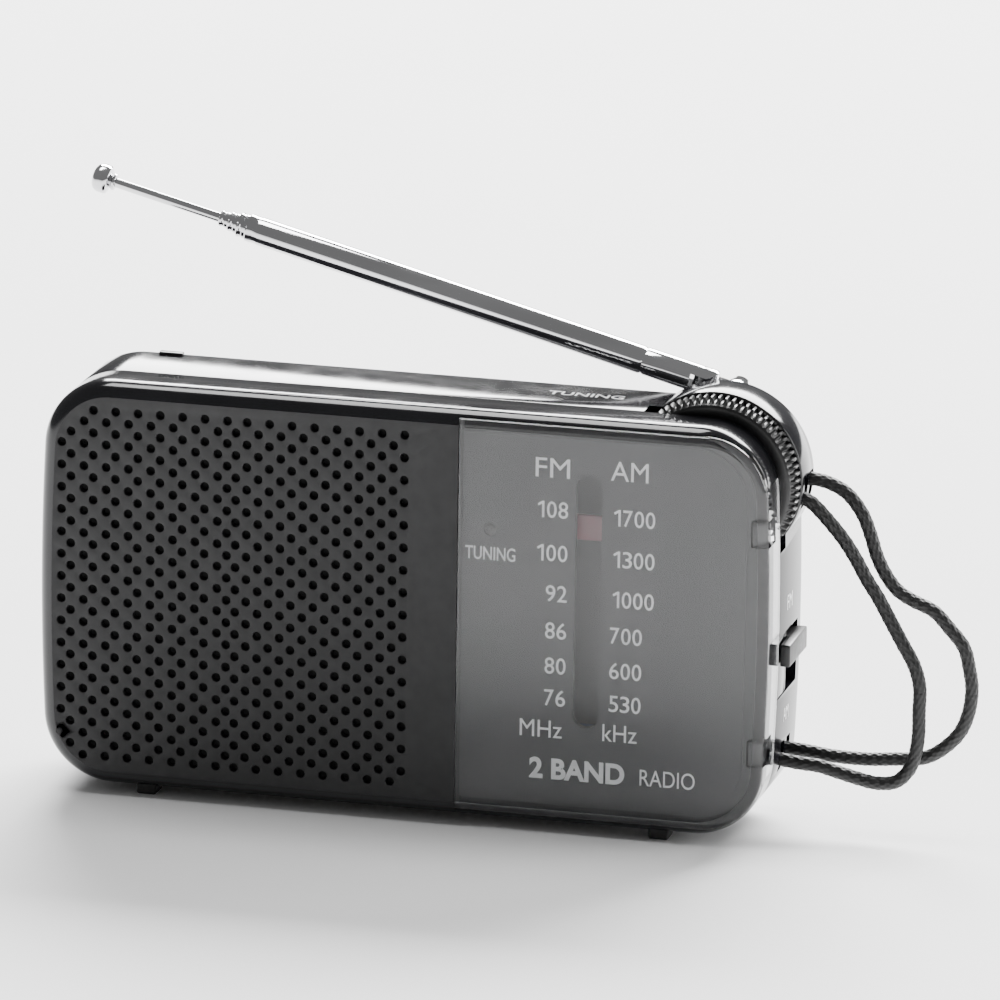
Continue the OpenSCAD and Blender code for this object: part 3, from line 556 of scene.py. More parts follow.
def strand_height(phi, s, strands, pitch):
    """Height of a braid's surface, 0 to 1: strands pass over each other in turn."""
    p = strands * phi / math.tau + s / pitch
    q = strands * phi / math.tau - s / pitch
    over = (math.floor(p) + math.floor(q)) % 2 == 0
    f = (p if over else q) % 1
    g = (q if over else p) % 1
    return math.sqrt(max(0.0, 1 - (2 * f - 1) ** 2)) * (0.55 + 0.45 * math.sin(math.pi * g))


def braided_cord(name, route, diameter, sides=40, step=0.16, strands=8, pitch=1.7, relief=0.2):
    line, length = evenly(smooth_route(route), step)
    across = Vector((0, 1, 0))
    rings = []
    for i, p in enumerate(line):
        tangent = (line[min(i + 1, len(line) - 1)] - line[max(i - 1, 0)]).normalized()
        across = (across - tangent * across.dot(tangent)).normalized()
        other = tangent.cross(across)
        loop_ring = []
        for k in range(sides):
            phi = math.tau * k / sides
            r = diameter / 2 + relief * (strand_height(phi, i * step, strands, pitch) - 0.6)
            loop_ring.append(p + (across * math.cos(phi) + other * math.sin(phi)) * r)
        rings.append(loop_ring)
    return loft(name, rings), line, length


strap, strap_line, strap_length = braided_cord("strap_braid", STRAP_ROUTE, STRAP_D)
piece(strap, "strap_black", "root", ["strap_cord"], angle=70)

# ---- Front shell ----------------------------------------------------------

LIP = 0.3        # rounding of both shells at the parting line


def window_outline(inset, left):
    """The clear window's front view: flush with the case on the right."""
    points = outline(WINDOW_MARGIN + inset, shift=WINDOW_MARGIN)
    return clip_left(points, left)


def clip_left(points, left):
    """Keeps what lies to the right of left, with straight cuts."""
    out = []
    for (x0, z0), (x1, z1) in zip(points, points[1:] + points[:1]):
        if x0 >= left:
            out.append((x0, z0))
        if (x0 < left) != (x1 < left):
            t = (left - x0) / (x1 - x0)
            out.append((left, z0 + (z1 - z0) * t))
    return out


window_left = window_low.x
plate_front, plate_rear = window_low.y, window_low.y + 2.0
inner_fillet = FRONT_FILLET - WALL
turn_y = front_y + FRONT_FILLET - math.sqrt(FRONT_FILLET**2 - (FRONT_FILLET - PANEL_EDGE) ** 2)


def up_to_panel(points):
    return [p for p in points if p[0] < PANEL_EDGE - 0.05]


front_profile = (
    [(PANEL_EDGE, turn_y)]
    + list(reversed(up_to_panel(arc(FRONT_FILLET, front_y, 0, 1, 16))))
    + [(0, parting_y - LIP)]
    + [(LIP * 0.3, parting_y - LIP * 0.3), (LIP, parting_y)]
    + [(WALL, parting_y)]
    + up_to_panel(arc(inner_fillet, front_y + WALL, WALL, 1, 5))
    + [(PANEL_EDGE, front_y + WALL)]
)
front = loft("front_cover", [ring(outline(i), y) for i, y in front_profile], loop=True)
combine(
    front,
    slab("cut", window_outline(-0.02, window_left - 0.02), plate_front - 1, plate_rear + 0.02),
)
skirt_low, skirt_high = case_bottom + CORNER * 0.8, case_top - CORNER * 0.8


def skirt_area(inset, outset, low, high):
    """A strip of the right side, between two insets and two heights."""

    def carried(end, before, z):
        """The end of the line from before, carried on to height z."""
        return end[0] + (end[0] - before[0]) * (z - end[1]) / (end[1] - before[1]), z

    def capped(i):
        points = [p for p in outline(i) if p[0] > 0 and low < p[1] < high]
        first, last = carried(points[0], points[1], low), carried(points[-1], points[-2], high)
        return [first] + points + [last]

    return capped(-outset) + list(reversed(capped(inset)))


SKIRT = 0.8
SKIRT_GAP = 0.03
skirt_cut = skirt_area(SKIRT + SKIRT_GAP, 2, skirt_low - SKIRT_GAP, skirt_high + SKIRT_GAP)
combine(front, slab("cut", skirt_cut, plate_rear - 1, parting_y + 1))
combine(front, bar_y("cut", wheel_x, wheel_z, 10.5, parting_y - 1.6, parting_y + 1))
piece(front, "case_black", "root", ["front_shell"])

# ---- Speaker panel --------------------------------------------------------


def hole_centres():
    """Two blocks of interleaved grids of holes."""
    gap, half = 0.42 * PITCH, PITCH / 2
    first_x, step = -54.5, 7.88 * PITCH
    first_z = mid_z + 1 + 7.5 * PITCH
    grids = [
        (first_x, first_z - PITCH, 1, 15),
        (first_x + PITCH, first_z, 7, 16),
        (first_x - gap, first_z - half - PITCH, 1, 14),
        (first_x - gap + PITCH, first_z - half, 7, 16),
        (first_x + step, first_z, 8, 16),
        (first_x + step - 0.49 * PITCH, first_z - half, 8, 16),
    ]
    return [
        (x + c * PITCH, z - r * PITCH)
        for x, z, columns, rows in grids
        for c in range(columns)
        for r in range(rows)
    ]


def perforated(name, boundary, centres, y0, y1, radius, bevel=0.13, sides=18):
    """A flat plate with round holes whose front edges are rounded over."""
    wide = radius + bevel
    turns = [math.tau * k / sides for k in range(sides)]
    circle = [(math.cos(t), math.sin(t)) for t in turns]
    points = [Vector(p) for p in boundary]
    loops = [list(range(len(points)))]
    for cx, cz in centres:
        start = len(points)
        points += [Vector((cx + wide * c, cz + wide * s)) for c, s in circle]
        loops.append(list(range(start, start + sides)))
    edges = [(a, b) for loop in loops for a, b in zip(loop, loop[1:] + loop[:1])]
    flat, _, tris, origin, _, _ = delaunay_2d_cdt(points, edges, [], 0, 1e-6)
    owner = {}
    for i, sources in enumerate(origin):
        for s in sources:
            owner[s] = i
    hole_of = {}
    for h, loop in enumerate(loops[1:]):
        for i in loop:
            hole_of[owner[i]] = h
    kept = []
    for t in tris:
        holes = {hole_of.get(i, -1) for i in t}
        if len(holes) == 1 and -1 not in holes:
            continue
        middle = sum((flat[i] for i in t), Vector((0, 0))) / 3
        if inside(middle, boundary):
            kept.append(tuple(t))
    verts = [(v.x, y0, v.y) for v in flat]
    back = len(verts)
    verts += [(v.x, y1, v.y) for v in flat]
    for h, (cx, cz) in enumerate(centres):
        for k, i in enumerate(loops[h + 1]):
            verts[back + owner[i]] = (cx + radius * circle[k][0], y1, cz + radius * circle[k][1])
    faces = kept + [tuple(back + i for i in reversed(t)) for t in kept]
    for a, b in zip(loops[0], loops[0][1:] + loops[0][:1]):
        faces.append((owner[a], owner[b], back + owner[b], back + owner[a]))
    steps = 3
    for h, (cx, cz) in enumerate(centres):
        previous = [owner[i] for i in loops[h + 1]]
        for step in range(1, steps + 1):
            a = math.pi / 2 * step / steps
            r = wide - bevel * math.sin(a)
            y = y0 + bevel * (1 - math.cos(a))
            row = list(range(len(verts), len(verts) + sides))
            verts += [(cx + r * c, y, cz + r * s) for c, s in circle]
            for k in range(sides):
                m = (k + 1) % sides
                faces.append((previous[k], previous[m], row[m], row[k]))
            previous = row
        rear = [back + owner[i] for i in loops[h + 1]]
        for k in range(sides):
            m = (k + 1) % sides
            faces.append((previous[k], previous[m], rear[m], rear[k]))
    return build(name, verts, faces)


def inside(point, polygon):
    x, z = point
    hit = False
    for (x0, z0), (x1, z1) in zip(polygon, polygon[1:] + polygon[:1]):
        if (z0 > z) != (z1 > z) and x < x0 + (x1 - x0) * (z - z0) / (z1 - z0):
            hit = not hit
    return hit


def clip_right(points, right_x):
    return [(-x, z) for x, z in clip_left([(-x, z) for x, z in points], -right_x)]


panel = perforated(
    "speaker_panel",
    clip_right(outline(PANEL_EDGE), window_left - 0.05),
    hole_centres(),
    front_y,
    panel_high.y - 0.4,
    HOLE_R,
)
piece(panel, "panel_black", "root", ["speaker_grille"], angle=50)
# A thin dark sheet just behind the speaker panel, in the cone's colour: painted shade, so that the holes read
# black and hide the steel frame
hole_shade_area = clip_right(outline(PANEL_EDGE + 0.2), window_left - 2.6)
hole_shade_sheet = slab("speaker_hole_shade", hole_shade_area, panel_high.y - 0.3, panel_high.y - 0.1)
piece(hole_shade_sheet, "cone_paper", "root")

# ---- Rear shell -----------------------------------------------------------

case_profile = [(LIP, parting_y), (LIP * 0.3, parting_y + LIP * 0.3), (0, parting_y + LIP)]
case_profile += arc(REAR_FILLET, rear_y, 0, -1, 12)
rear = loft("rear_cover", [ring(outline(i), y) for i, y in case_profile])
hollow_profile = [(WALL, parting_y - 1)] + arc(REAR_FILLET - WALL, rear_y - WALL, WALL, -1, 5)
hollow = loft("cut", [ring(outline(i, 12, 6), y) for i, y in hollow_profile])
combine(hollow, block("cut2", (-CLEAR, REBATE_Y - WALL, REBATE_Z - WALL), (CLEAR, CLEAR_REAR, CLEAR)))
combine(rear, hollow)
cheek_r = wheel_r + 0.2
cheek_profile = [
    (cheek_r - 1.2, 0), (cheek_r - 0.25, 0), (cheek_r - 0.07, 0.07), (cheek_r, 0.25),
    (cheek_r, REBATE_Y - SLOT_REAR - 1.2), (cheek_r - 0.35, REBATE_Y - SLOT_REAR - 0.35),
    (cheek_r - 1.2, REBATE_Y - SLOT_REAR),
]
combine(
    rear,
    turned("join", cheek_profile, (wheel_x, SLOT_REAR, wheel_z), (0, 1, 0), 160),
    "UNION",
)
combine(rear, bar_y("cut", wheel_x, wheel_z, cheek_r - 1.2, SLOT_REAR - 1, REBATE_Y - WALL))
combine(rear, bar_y("cut", wheel_x, wheel_z, SLOT_R, parting_y - 1, SLOT_REAR, 160))
combine(rear, block("cut", (-CLEAR, REBATE_Y, REBATE_Z), (CLEAR, CLEAR_REAR, CLEAR)))
recess_low, recess_high = mid_z - 12.2, mid_z - 2
recess_rear = rear_y - 5.2
knob_split = parting_y + 6
combine(
    rear,
    block(
        "join",
        (half_w - 2.6 - CROWN, parting_y + 0.1, recess_low - 1.4),
        (half_w - CROWN, recess_rear + 1, recess_high + 1.4),
    ),
    "UNION",
)
face_x = half_w - 0.45
volume_x, volume_z = (volume_low.x + volume_high.x) / 2, (volume_low.z + volume_high.z) / 2
VOLUME_SLOT = 7.5    # half the height of the volume wheel's slot
openings = [
    ((face_x, parting_y - 1, recess_low), (CLEAR, recess_rear, recess_high)),
    ((half_w - 8, knob_split, recess_low), (CLEAR, recess_rear, recess_high)),
    (
        (-CLEAR, volume_low.y - 0.3, volume_z - VOLUME_SLOT),
        (-half_w + 7.6, volume_high.y + 0.3, volume_z + VOLUME_SLOT),
    ),
    ((-10.3, rear_y - WALL - 0.3, door_low.z - 0.1), (CLEAR, CLEAR_REAR, door_high.z - 0.1)),
]
for low, high in ((53.0, 58.4), (9.4, 14.4)):
    for y in STRAP_Y:
        openings.append(((half_w - 4.5, y - STRAP_SLOT, low), (CLEAR, y + STRAP_SLOT, high)))
for low, high in openings:
    combine(rear, block("cut", low, high))
screw_spots = (
    (-half_w + 6.6, case_bottom + 7),
    (-half_w + 6.6, case_top - 6.6),
    (4.5, case_top - 6.8),
    (-16.8, case_bottom + 6.4),
)
for x, z in screw_spots:
    combine(rear, bar_y("cut", x, z, 2.0, rear_y - SCREW_SINK, rear_y + 1, 48))
jack_y, jack_z = (jack_low.y + jack_high.y) / 2, (jack_low.z + jack_high.z) / 2
combine(rear, turned("cut", [(3.05, 0), (3.05, 30)], (-half_w - 20, jack_y, jack_z), (1, 0, 0), 64))
clip = block("join", (-45.8, REBATE_Y - 1.3, case_top - 0.4), (-41.8, REBATE_Y - 0.1, case_top + 0.5), 0.2)
combine(rear, clip, "UNION")
piece(rear, "case_black", "root", ["rear_shell"])

# The tongue of plain wall beside the band switch, with a fine seam round it
tongue = block(
    "switch_tongue",
    (half_w - 3, parting_y + 0.25, recess_low + 0.12),
    (half_w - 0.22, knob_split - 0.12, recess_high - 0.12),
    0.12,
)
piece(tongue, "case_black", "root")

# ---- Dial -----------------------------------------------------------------

plate_y0, plate_y1 = plate_low.y, plate_high.y
slot_x, slot_z = 30.3, mid_z + 3.2
SLOT_W, SLOT_LEN = 4.3, 41.4


def slot_outline(grow=0.0):
    r = SLOT_W / 2 + grow
    run = (SLOT_LEN - SLOT_W) / 2
    half_turn = [(r * math.cos(a), r * math.sin(a)) for a in (math.pi * i / 20 for i in range(21))]
    top = [(slot_x + u, slot_z + run + v) for u, v in half_turn]
    low = [(slot_x - u, slot_z - run - v) for u, v in half_turn]
    return top + low


dial = slab("dial_base", clip_left(outline(WALL + 0.3), window_left - 1.5), plate_y0 + 0.25, plate_y1)
combine(dial, slab("cut", slot_outline(0.02), plate_y0 - 2, plate_y1 + 2))
piece(dial, "dial_grey", "root", ["dial_plate"])


def dial_sheet_outline():
    """The printed sheet: straight on the left, with rounded corners on the right."""
    left, right_x, top, low, r = window_left - 1.2, 55.9, case_top - 3.7, case_bottom + 3.7, 8.5
    quarter = [math.radians(4.5 * i) for i in range(21)]
    x = right_x - r
    lower = [(x + r * math.sin(a), low + r - r * math.cos(a)) for a in quarter]
    upper = [(x + r * math.cos(a), top - r + r * math.sin(a)) for a in quarter]
    return [(left, low)] + lower + upper + [(left, top)]


sheet_piece = slab("dial_sheet", dial_sheet_outline(), plate_y0, plate_y0 + 0.25)
combine(sheet_piece, slab("cut", slot_outline(0.0), plate_y0 - 2, plate_y1 + 2))
piece(sheet_piece, "dial_grey", "root")


def letters(text, cap, width, x, z, align, y, bold=0.0):
    """A line of print as a thin raised mesh: cap height and width in millimetres."""
    curve = bpy.data.curves.new("letters", "FONT")
    curve.body = text
    curve.size = 10
    curve.offset = bold
    curve.resolution_u = 6
    helper = bpy.data.objects.new("letters", curve)
    bpy.context.scene.collection.objects.link(helper)
    graph = bpy.context.evaluated_depsgraph_get()
    mesh = bpy.data.meshes.new_from_object(helper.evaluated_get(graph))
    bpy.data.objects.remove(helper)
    bpy.data.curves.remove(curve)
    xs = [v.co.x for v in mesh.vertices]
    ys = [v.co.y for v in mesh.vertices]
    x0, x1, y0, y1 = min(xs), max(xs), min(ys), max(ys)
    sx, sz = width / (x1 - x0), cap / (y1 - y0)
    left = {"left": x, "right": x - width, "middle": x - width / 2}[align]
    bm = bmesh.new()
    bm.from_mesh(mesh)
    for v in bm.verts:
        v.co = Vector((left + (v.co.x - x0) * sx, y, z + (v.co.y - y0) * sz - cap / 2)) * MM
    top = bmesh.ops.extrude_face_region(bm, geom=bm.faces[:])
    for v in top["geom"]:
        if isinstance(v, bmesh.types.BMVert):
            v.co.y += 0.03 * MM
    bmesh.ops.recalc_face_normals(bm, faces=bm.faces)
    bm.to_mesh(mesh)
    bm.free()
    return add_object("letters", mesh)


ONE = [(0.1, 0), (0.24, 0), (0.24, 1), (0.12, 1), (-0.17, 0.82), (-0.11, 0.69), (0.1, 0.82)]


def number(text, cap, cell, x, z, align, y):
    """Figures in cells of equal width; the one has a flag."""
    left = {"left": x, "right": x - cell * len(text)}[align]
    figures = []
    for k, figure in enumerate(text):
        middle = left + cell * (k + 0.5)
        if figure == "1":
            shape = [(middle + u * cap, z + (v - 0.5) * cap) for u, v in ONE]
            figures.append(slab("letters", shape, y, y + 0.03))
        else:
            figures.append(letters(figure, cap, cell * 0.84, middle, z, "middle", y, 0.05))
    return figures


def row_z(b):
    return case_bottom + (16.8 - b) * PITCH


print_y = plate_y0 - 0.03
prints = [
    letters("FM", 3.15, 5.6, 24.3, 59.8, "middle", print_y),
    letters("AM", 3.15, 6.1, 36.8, 60.1, "middle", print_y),
    letters("MHz", 2.8, 6.9, 23.0, 16.9, "middle", print_y),
    letters("kHz", 2.8, 5.6, 35.9, 17.1, "middle", print_y),
    letters("TUNING", 2.2, 8.2, 14.3, 45.0, "middle", print_y, 0.1),
    letters("2 BAND", 3.5, 15.6, 29.0, 10.4, "middle", print_y, 0.35),
    letters("RADIO", 2.7, 9.0, 43.8, 10.2, "middle", print_y),
]
for text, b in zip(("108", "100", "92", "86", "80", "76"), (2.91, 4.83, 6.62, 8.27, 9.83, 11.26)):
    prints += number(text, 2.7, 1.87, 27.05, row_z(b), "right", print_y)
for text, b in zip(("1700", "1300", "1000", "700", "600", "530"), (3.05, 4.88, 6.66, 8.27, 9.83, 11.3)):
    prints += number(text, 2.7, 1.83, 33.9, row_z(b), "left", print_y)
piece(merge("dial_print", prints), "print_white", "root")

backing = block(
    "slot_backing",
    (slot_x - 3.4, pointer_high.y + 0.3, slot_z - SLOT_LEN / 2 - 1),
    (slot_x + 3.2, pointer_high.y + 0.6, slot_z + SLOT_LEN / 2 + 1),
)
piece(backing, "dial_grey", "root")

lamp_x, lamp_z = (lamp_low.x + lamp_high.x) / 2, (lamp_low.z + lamp_high.z) / 2
lamp = turned(
    "lamp_lens",
    [(0, 0), (0.4, 0.02), (0.75, 0.08), (0.95, 0.17), (1.05, 0.3), (1.05, 0.6), (0, 0.6)],
    (lamp_x, lamp_low.y, lamp_z),
    (0, 1, 0),
    40,
)
piece(lamp, "lamp_dark", "root", ["power_lamp"])

pointer = block(
    "pointer_block",
    (slot_x - SLOT_W / 2 - 0.5, pointer_low.y, pointer_low.z),
    (36.0, pointer_low.y + 1.0, pointer_high.z),
    0.15,
)
combine(
    pointer,
    block(
        "join",
        (34.0, pointer_low.y + 0.4, pointer_low.z + 0.2),
        (36.4, pointer_high.y - 0.4, pointer_high.z - 0.2),
        0.2,
    ),
    "UNION",
)
rail_bore = turned("cut", [(0.65, -3), (0.65, 8)], (35.2, -7.2, pointer_low.z), (0, 0, 1), 32)
combine(pointer, rail_bore)
piece(pointer, "pointer_red", "pointer", ["dial_pointer"])

# ---- Window ---------------------------------------------------------------

EDGE_R = 1.1     # rounding of the window's front edge
window_rings = []
for inset, y in reversed(arc(EDGE_R, plate_front, 0, 1, 8)):
    left = window_left + 0.02 + 0.15 * inset / EDGE_R
    window_rings.append(ring(window_outline(inset + 0.04, left), y))
window_rings.append(ring(window_outline(0.04, window_left + 0.02), plate_rear))
window = loft("window_cover", window_rings)
RIM_IN, RIM_T = 0.75, 1.25
rim_rear = plate_rear + 2.6
outer_rim = window_outline(RIM_IN, window_left + 0.6)
rim = slab("join", outer_rim, plate_rear - 0.3, rim_rear)
rim_inside = clip_left(window_outline(RIM_IN + RIM_T, window_left - 5), window_left - 4)
combine(rim, slab("cut", rim_inside, plate_rear, rim_rear + 1))
combine(window, rim, "UNION")
combine(
    window,
    slab("join", skirt_area(SKIRT, -0.02, skirt_low, skirt_high), plate_rear - 0.6, parting_y - 0.15),
    "UNION",
)
for z in (52.0, 16.0):
    combine(
        window,
        block("cut", (56.9, plate_rear - 1.2, z - 2.2), (60.4, rim_rear + 1, z + 2.2), 0.3),
    )
piece(window, "window_clear", "root", ["dial_window"])

# ---- Tuning wheel ---------------------------------------------------------


def knurled(name, x, z, profile, teeth, depth, origin_y, samples=8):
    """A wheel about Y; each profile entry is [radius, y, share of the tooth depth]."""
    n = teeth * samples
    rings = []
    for r, y, share in profile:
        loop_ring = []
        for k in range(n):
            phase = (k / samples) % 1
            ridge = min(1.0, max(0.0, (abs(2 * phase - 1) - 0.3) / 0.4))
            a = math.tau * k / n
            rr = r - share * depth * (1 - ridge)
            loop_ring.append((x + rr * math.cos(a), origin_y + y, z + rr * math.sin(a)))
        rings.append(loop_ring)
    return loft(name, rings)


wheel_t = wheel_rear - wheel_front
wheel = knurled(
    "tuning_knob",
    wheel_x,
    wheel_z,
    [
        (3.2, 0.5, 0), (10.2, 0.5, 0), (10.8, 0.1, 0), (11.2, 0.0, 0), (12.3, 0.0, 0),
        (12.6, 0.04, 0), (12.85, 0.2, 0), (13.0, 0.42, 0.1), (13.75, 0.85, 0.75),
        (wheel_r - 0.05, 1.05, 1), (wheel_r, 1.25, 1), (wheel_r, wheel_t - 0.4, 1),
        (wheel_r - 0.12, wheel_t - 0.15, 0.9), (wheel_r - 0.8, wheel_t, 0.1),
        (12.0, wheel_t, 0), (3.2, wheel_t, 0),
    ],
    teeth=75,
    depth=0.75,
    origin_y=wheel_front,
)
combine(wheel, bar_y("cut", wheel_x, wheel_z, 3.02, wheel_front - 1, wheel_rear + 1, 48))
piece(wheel, "control_black", "tuning", ["tuning_wheel"], angle=28)

volume_r = (volume_high.x - volume_low.x) / 2
volume_t = volume_high.y - volume_low.y
volume = knurled(
    "volume_knob",
    volume_x,
    volume_z,
    [
        (2.2, 0.3, 0), (6.5, 0.3, 0), (7.0, 0.0, 0), (8.1, 0.0, 0), (8.5, 0.25, 0.2),
        (volume_r - 0.05, 0.5, 1), (volume_r, 0.65, 1), (volume_r, volume_t - 0.6, 1),
        (volume_r - 0.4, volume_t - 0.2, 0.4), (volume_r - 0.9, volume_t, 0), (2.2, volume_t, 0),
    ],
    teeth=52,
    depth=0.5,
    origin_y=volume_low.y,
)
combine(volume, bar_y("cut", volume_x, volume_z, 2.02, volume_low.y - 1, volume_high.y + 1, 48))
piece(volume, "control_black", "volume", ["volume_wheel"], angle=28)

# ---- Band switch ----------------------------------------------------------

knob_ridge_high = knob_high.z - 0.8
knob_ridge_low = knob_ridge_high - 3.6
knob_front, knob_rear = knob_split + 0.3, recess_rear - 0.3
slider_x = half_w - CROWN
knob_boxes = [
    # the ridge over the tongue
    ((half_w + 0.06, parting_y + 0.3, knob_ridge_low), (knob_high.x, knob_rear, knob_ridge_high), 0.25),
    # the slider, the neck between it and the ridge, and the stalk behind it
    ((slider_x - 1.2, knob_front, knob_low.z), (slider_x, knob_rear, knob_high.z), 0.1),
    ((slider_x - 0.1, knob_front, knob_ridge_low + 0.2), (half_w + 0.3, knob_rear, knob_ridge_high - 0.2), 0),
    ((knob_low.x, 3.6, knob_ridge_low + 0.8), (slider_x - 1.1, 5.6, knob_ridge_low + 2.8), 0),
]
for i in range(5):
    z = knob_ridge_low + 0.55 + i * 0.62
    rib_low, rib_high = (knob_high.x - 0.3, parting_y + 0.55, z), (knob_high.x, recess_rear - 0.55, z + 0.3)
    knob_boxes.append((rib_low, rib_high, 0.08))
knob_parts = [block("knob", low, high, chamfer) for low, high, chamfer in knob_boxes]
piece(merge("band_slider_knob", knob_parts), "control_black", "band_slider", ["band_knob"])

# ---- Antenna --------------------------------------------------------------

back = Vector((0, 1, 0))
over = rod_axis.cross(back)


def along(name, profile, steps=64, bore=0.0):
    """A [radius, distance from the turning axis] profile turned about the rod."""
    if bore:
        profile = profile + [(bore, profile[-1][1]), (bore, profile[0][1])]
        axis, origin = rod_axis, pivot
        across = back
        other = axis.cross(across)
        rings = [
            [
                origin + axis * h + (across * math.cos(t) + other * math.sin(t)) * r
                for t in (math.tau * k / steps for k in range(steps))
            ]
            for r, h in profile
        ]
        return loft(name, rings, loop=True)
    return turned(name, profile, pivot, rod_axis, steps, back)


TUBE_START, TUBE_END, COLLAR = 12.0, 83.5, 1.6
TUBE_RADII = (2.3, 2.0, 1.61, 1.32)
TUBE_GAP = 0.05
ROD_R = 0.8
ROD_OUT = 18.0
closed_end = TUBE_END + 3 * COLLAR
first_r = TUBE_RADII[0]
first = along(
    "antenna_sleeve_1",
    [
        (first_r, TUBE_START), (first_r, TUBE_START + 3.2), (first_r - 0.18, TUBE_START + 3.6),
        (first_r, TUBE_START + 4.0), (first_r, TUBE_END - 2.2), (first_r - 0.08, TUBE_END - 1.9),
        (first_r - 0.1, TUBE_END - 1.2), (first_r - 0.03, TUBE_END - 0.8),
        (first_r - 0.03, TUBE_END - 0.2), (first_r - 0.2, TUBE_END),
    ],
    bore=TUBE_RADII[1] + TUBE_GAP,
)
piece(first, "chrome", "antenna_first", ["antenna_tube_1"])
for i, (radius, inner, body) in enumerate(
    (
        (TUBE_RADII[1], TUBE_RADII[2] + TUBE_GAP, "antenna_second"),
        (TUBE_RADII[2], TUBE_RADII[3] + TUBE_GAP, "antenna_third"),
        (TUBE_RADII[3], ROD_R + TUBE_GAP, "antenna_fourth"),
    ),
    start=1,
):
    end = TUBE_END + i * COLLAR
    sleeve = along(
        f"antenna_sleeve_{i + 1}",
        [
            (radius, TUBE_START + i), (radius, end - COLLAR - 0.2), (radius, end - 1.1),
            (radius - 0.1, end - 0.95), (radius - 0.1, end - 0.65), (radius, end - 0.5),
            (radius, end - 0.2), (radius - 0.18, end),
        ],
        bore=inner,
    )
    piece(sleeve, "chrome", body, [f"antenna_tube_{i + 1}"])
tip_at = closed_end + ROD_OUT
rod_start = TUBE_START + 4 + ROD_OUT
rod = along(
    "antenna_thin_rod",
    [
        (0, rod_start), (ROD_R - 0.1, rod_start), (ROD_R, rod_start + 0.2),
        (ROD_R, tip_at + 0.3), (0, tip_at + 0.3),
    ],
    48,
)
piece(rod, "chrome", "antenna_last", ["antenna_rod"])
tip = along(
    "antenna_knob",
    [
        (r, tip_at + h)
        for r, h in (
            (0, 0.03), (1.15, 0.05), (1.35, 0.15), (1.4, 0.5), (1.15, 0.7), (1.1, 0.95), (1.7, 1.05),
            (2.12, 1.22), (2.32, 1.5), (2.35, 1.8), (2.35, 2.5), (2.28, 2.95), (2.05, 3.35),
            (1.6, 3.7), (1.0, 3.92), (0, 4.0),
        )
    ],
    64,
)
piece(tip, "chrome", "antenna_last", ["antenna_tip"])

FORK_AT = 5.3
base = turned(
    "antenna_swivel_base",
    [(0, -2.3), (1.8, -2.3), (2.0, -2.2), (2.1, -2.0), (2.1, 2.0), (2.0, 2.2), (1.8, 2.3), (0, 2.3)],
    pivot,
    back,
    72,
)
stem_end = REBATE_Y - pivot.y - 6.0
combine(base, turned("join", [(0.9, stem_end), (0.9, 0)], pivot, back, 32), "UNION")
combine(base, turned("join", [(1.25, stem_end - 0.8), (1.25, stem_end)], pivot, back, 32), "UNION")


def local_block(name, low, high, chamfer=0.0):
    """A block in the rod's own frame: along the rod, to the back, and up from it."""
    made = block(name, low, high, chamfer)
    turn = Matrix((rod_axis, back, over)).transposed().to_4x4()
    made.data.transform(Matrix.Translation(pivot * MM) @ turn)
    return made


combine(base, local_block("join", (0, -1.9, -0.9), (FORK_AT, 1.9, 0.9)), "UNION")
pin_at = pivot + rod_axis * FORK_AT
combine(base, turned("join", [(1.9, -0.9), (1.9, 0.9)], pin_at, over, 48), "UNION")
combine(base, turned("cut", [(0.75, -4), (0.75, 4)], pin_at, over, 32))
piece(base, "chrome", "antenna_swivel", ["antenna_base"])

fork_profile = [(0, 3.2), (1.7, 3.2), (2.1, 3.4), (first_r, 3.8), (first_r, TUBE_START), (0, TUBE_START)]
fork = along("antenna_yoke", fork_profile, 64)
fork_mask = turned("mask", [(2.1, -5), (2.1, 5)], pin_at, over, 64)
combine(fork_mask, local_block("join", (FORK_AT, -5, -5), (TUBE_START, 5, 5)), "UNION")
combine(fork, fork_mask, "INTERSECT")
combine(fork, local_block("cut", (0, -5, -1.0), (FORK_AT + 2.2, 5, 1.0)))
combine(fork, turned("cut", [(0.7, -5), (0.7, 5)], pin_at, over, 32))
piece(fork, "chrome", "antenna_first", ["antenna_fork"])
pin = turned(
    "antenna_rivet",
    [(0, -2.25), (0.5, -2.22), (0.69, -2.1), (0.69, 2.1), (0.5, 2.22), (0, 2.25)],
    pin_at,
    over,
    32,
)
piece(pin, "steel", "antenna_first", ["antenna_pin"])

# ---- Feet, door and screws ------------------------------------------------

feet = []
for x in (-42.4, 42.4):
    for y in (front_y + 4.2, rear_y - 5.0):
        feet.append(block("foot", (x - 1.6, y - 2.0, 0), (x + 1.6, y + 2.0, case_bottom + 0.4), 0.35))
piece(merge("feet", feet), "foot_black", "root", ["rubber_feet"])

door_profile = [(0, rear_y - 10)] + arc(REAR_FILLET, rear_y, 0, -1, 12)
door = loft("door_cover", [ring(outline(i), y) for i, y in door_profile])
door_mask = block("mask", (-10.0, rear_y - WALL, door_low.z + 0.3), (CLEAR, CLEAR_REAR, door_high.z - 0.5))
combine(door, door_mask, "INTERSECT")
for i in range(6):
    x = -6.5 + i * 1.5
    combine(door, block("cut", (x, rear_y - 0.35, 13.4), (x + 0.7, rear_y + 1, 23.4), 0.0))
piece(door, "case_black", "door", ["battery_door"])

shank = rear_y - SCREW_SINK - parting_y
for i, (x, z) in enumerate(screw_spots):
    head = turned(
        f"screw_{i + 1}",
        [
            (0, 0), (1.05, 0), (1.05, shank), (1.85, shank), (1.85, shank + 0.7),
            (1.6, shank + 1.0), (1.0, shank + 1.15), (0, shank + 1.2),
        ],
        (x, parting_y, z),
        (0, 1, 0),
        40,
    )
    for w, h in ((1.1, 0.18), (0.18, 1.1)):
        combine(head, block("cut", (x - w, rear_y - 3.5, z - h), (x + w, rear_y, z + h)))
    piece(head, "steel", "root", ["case_screws"] if i == 0 else ())

# ---- Print on the case ----------------------------------------------------


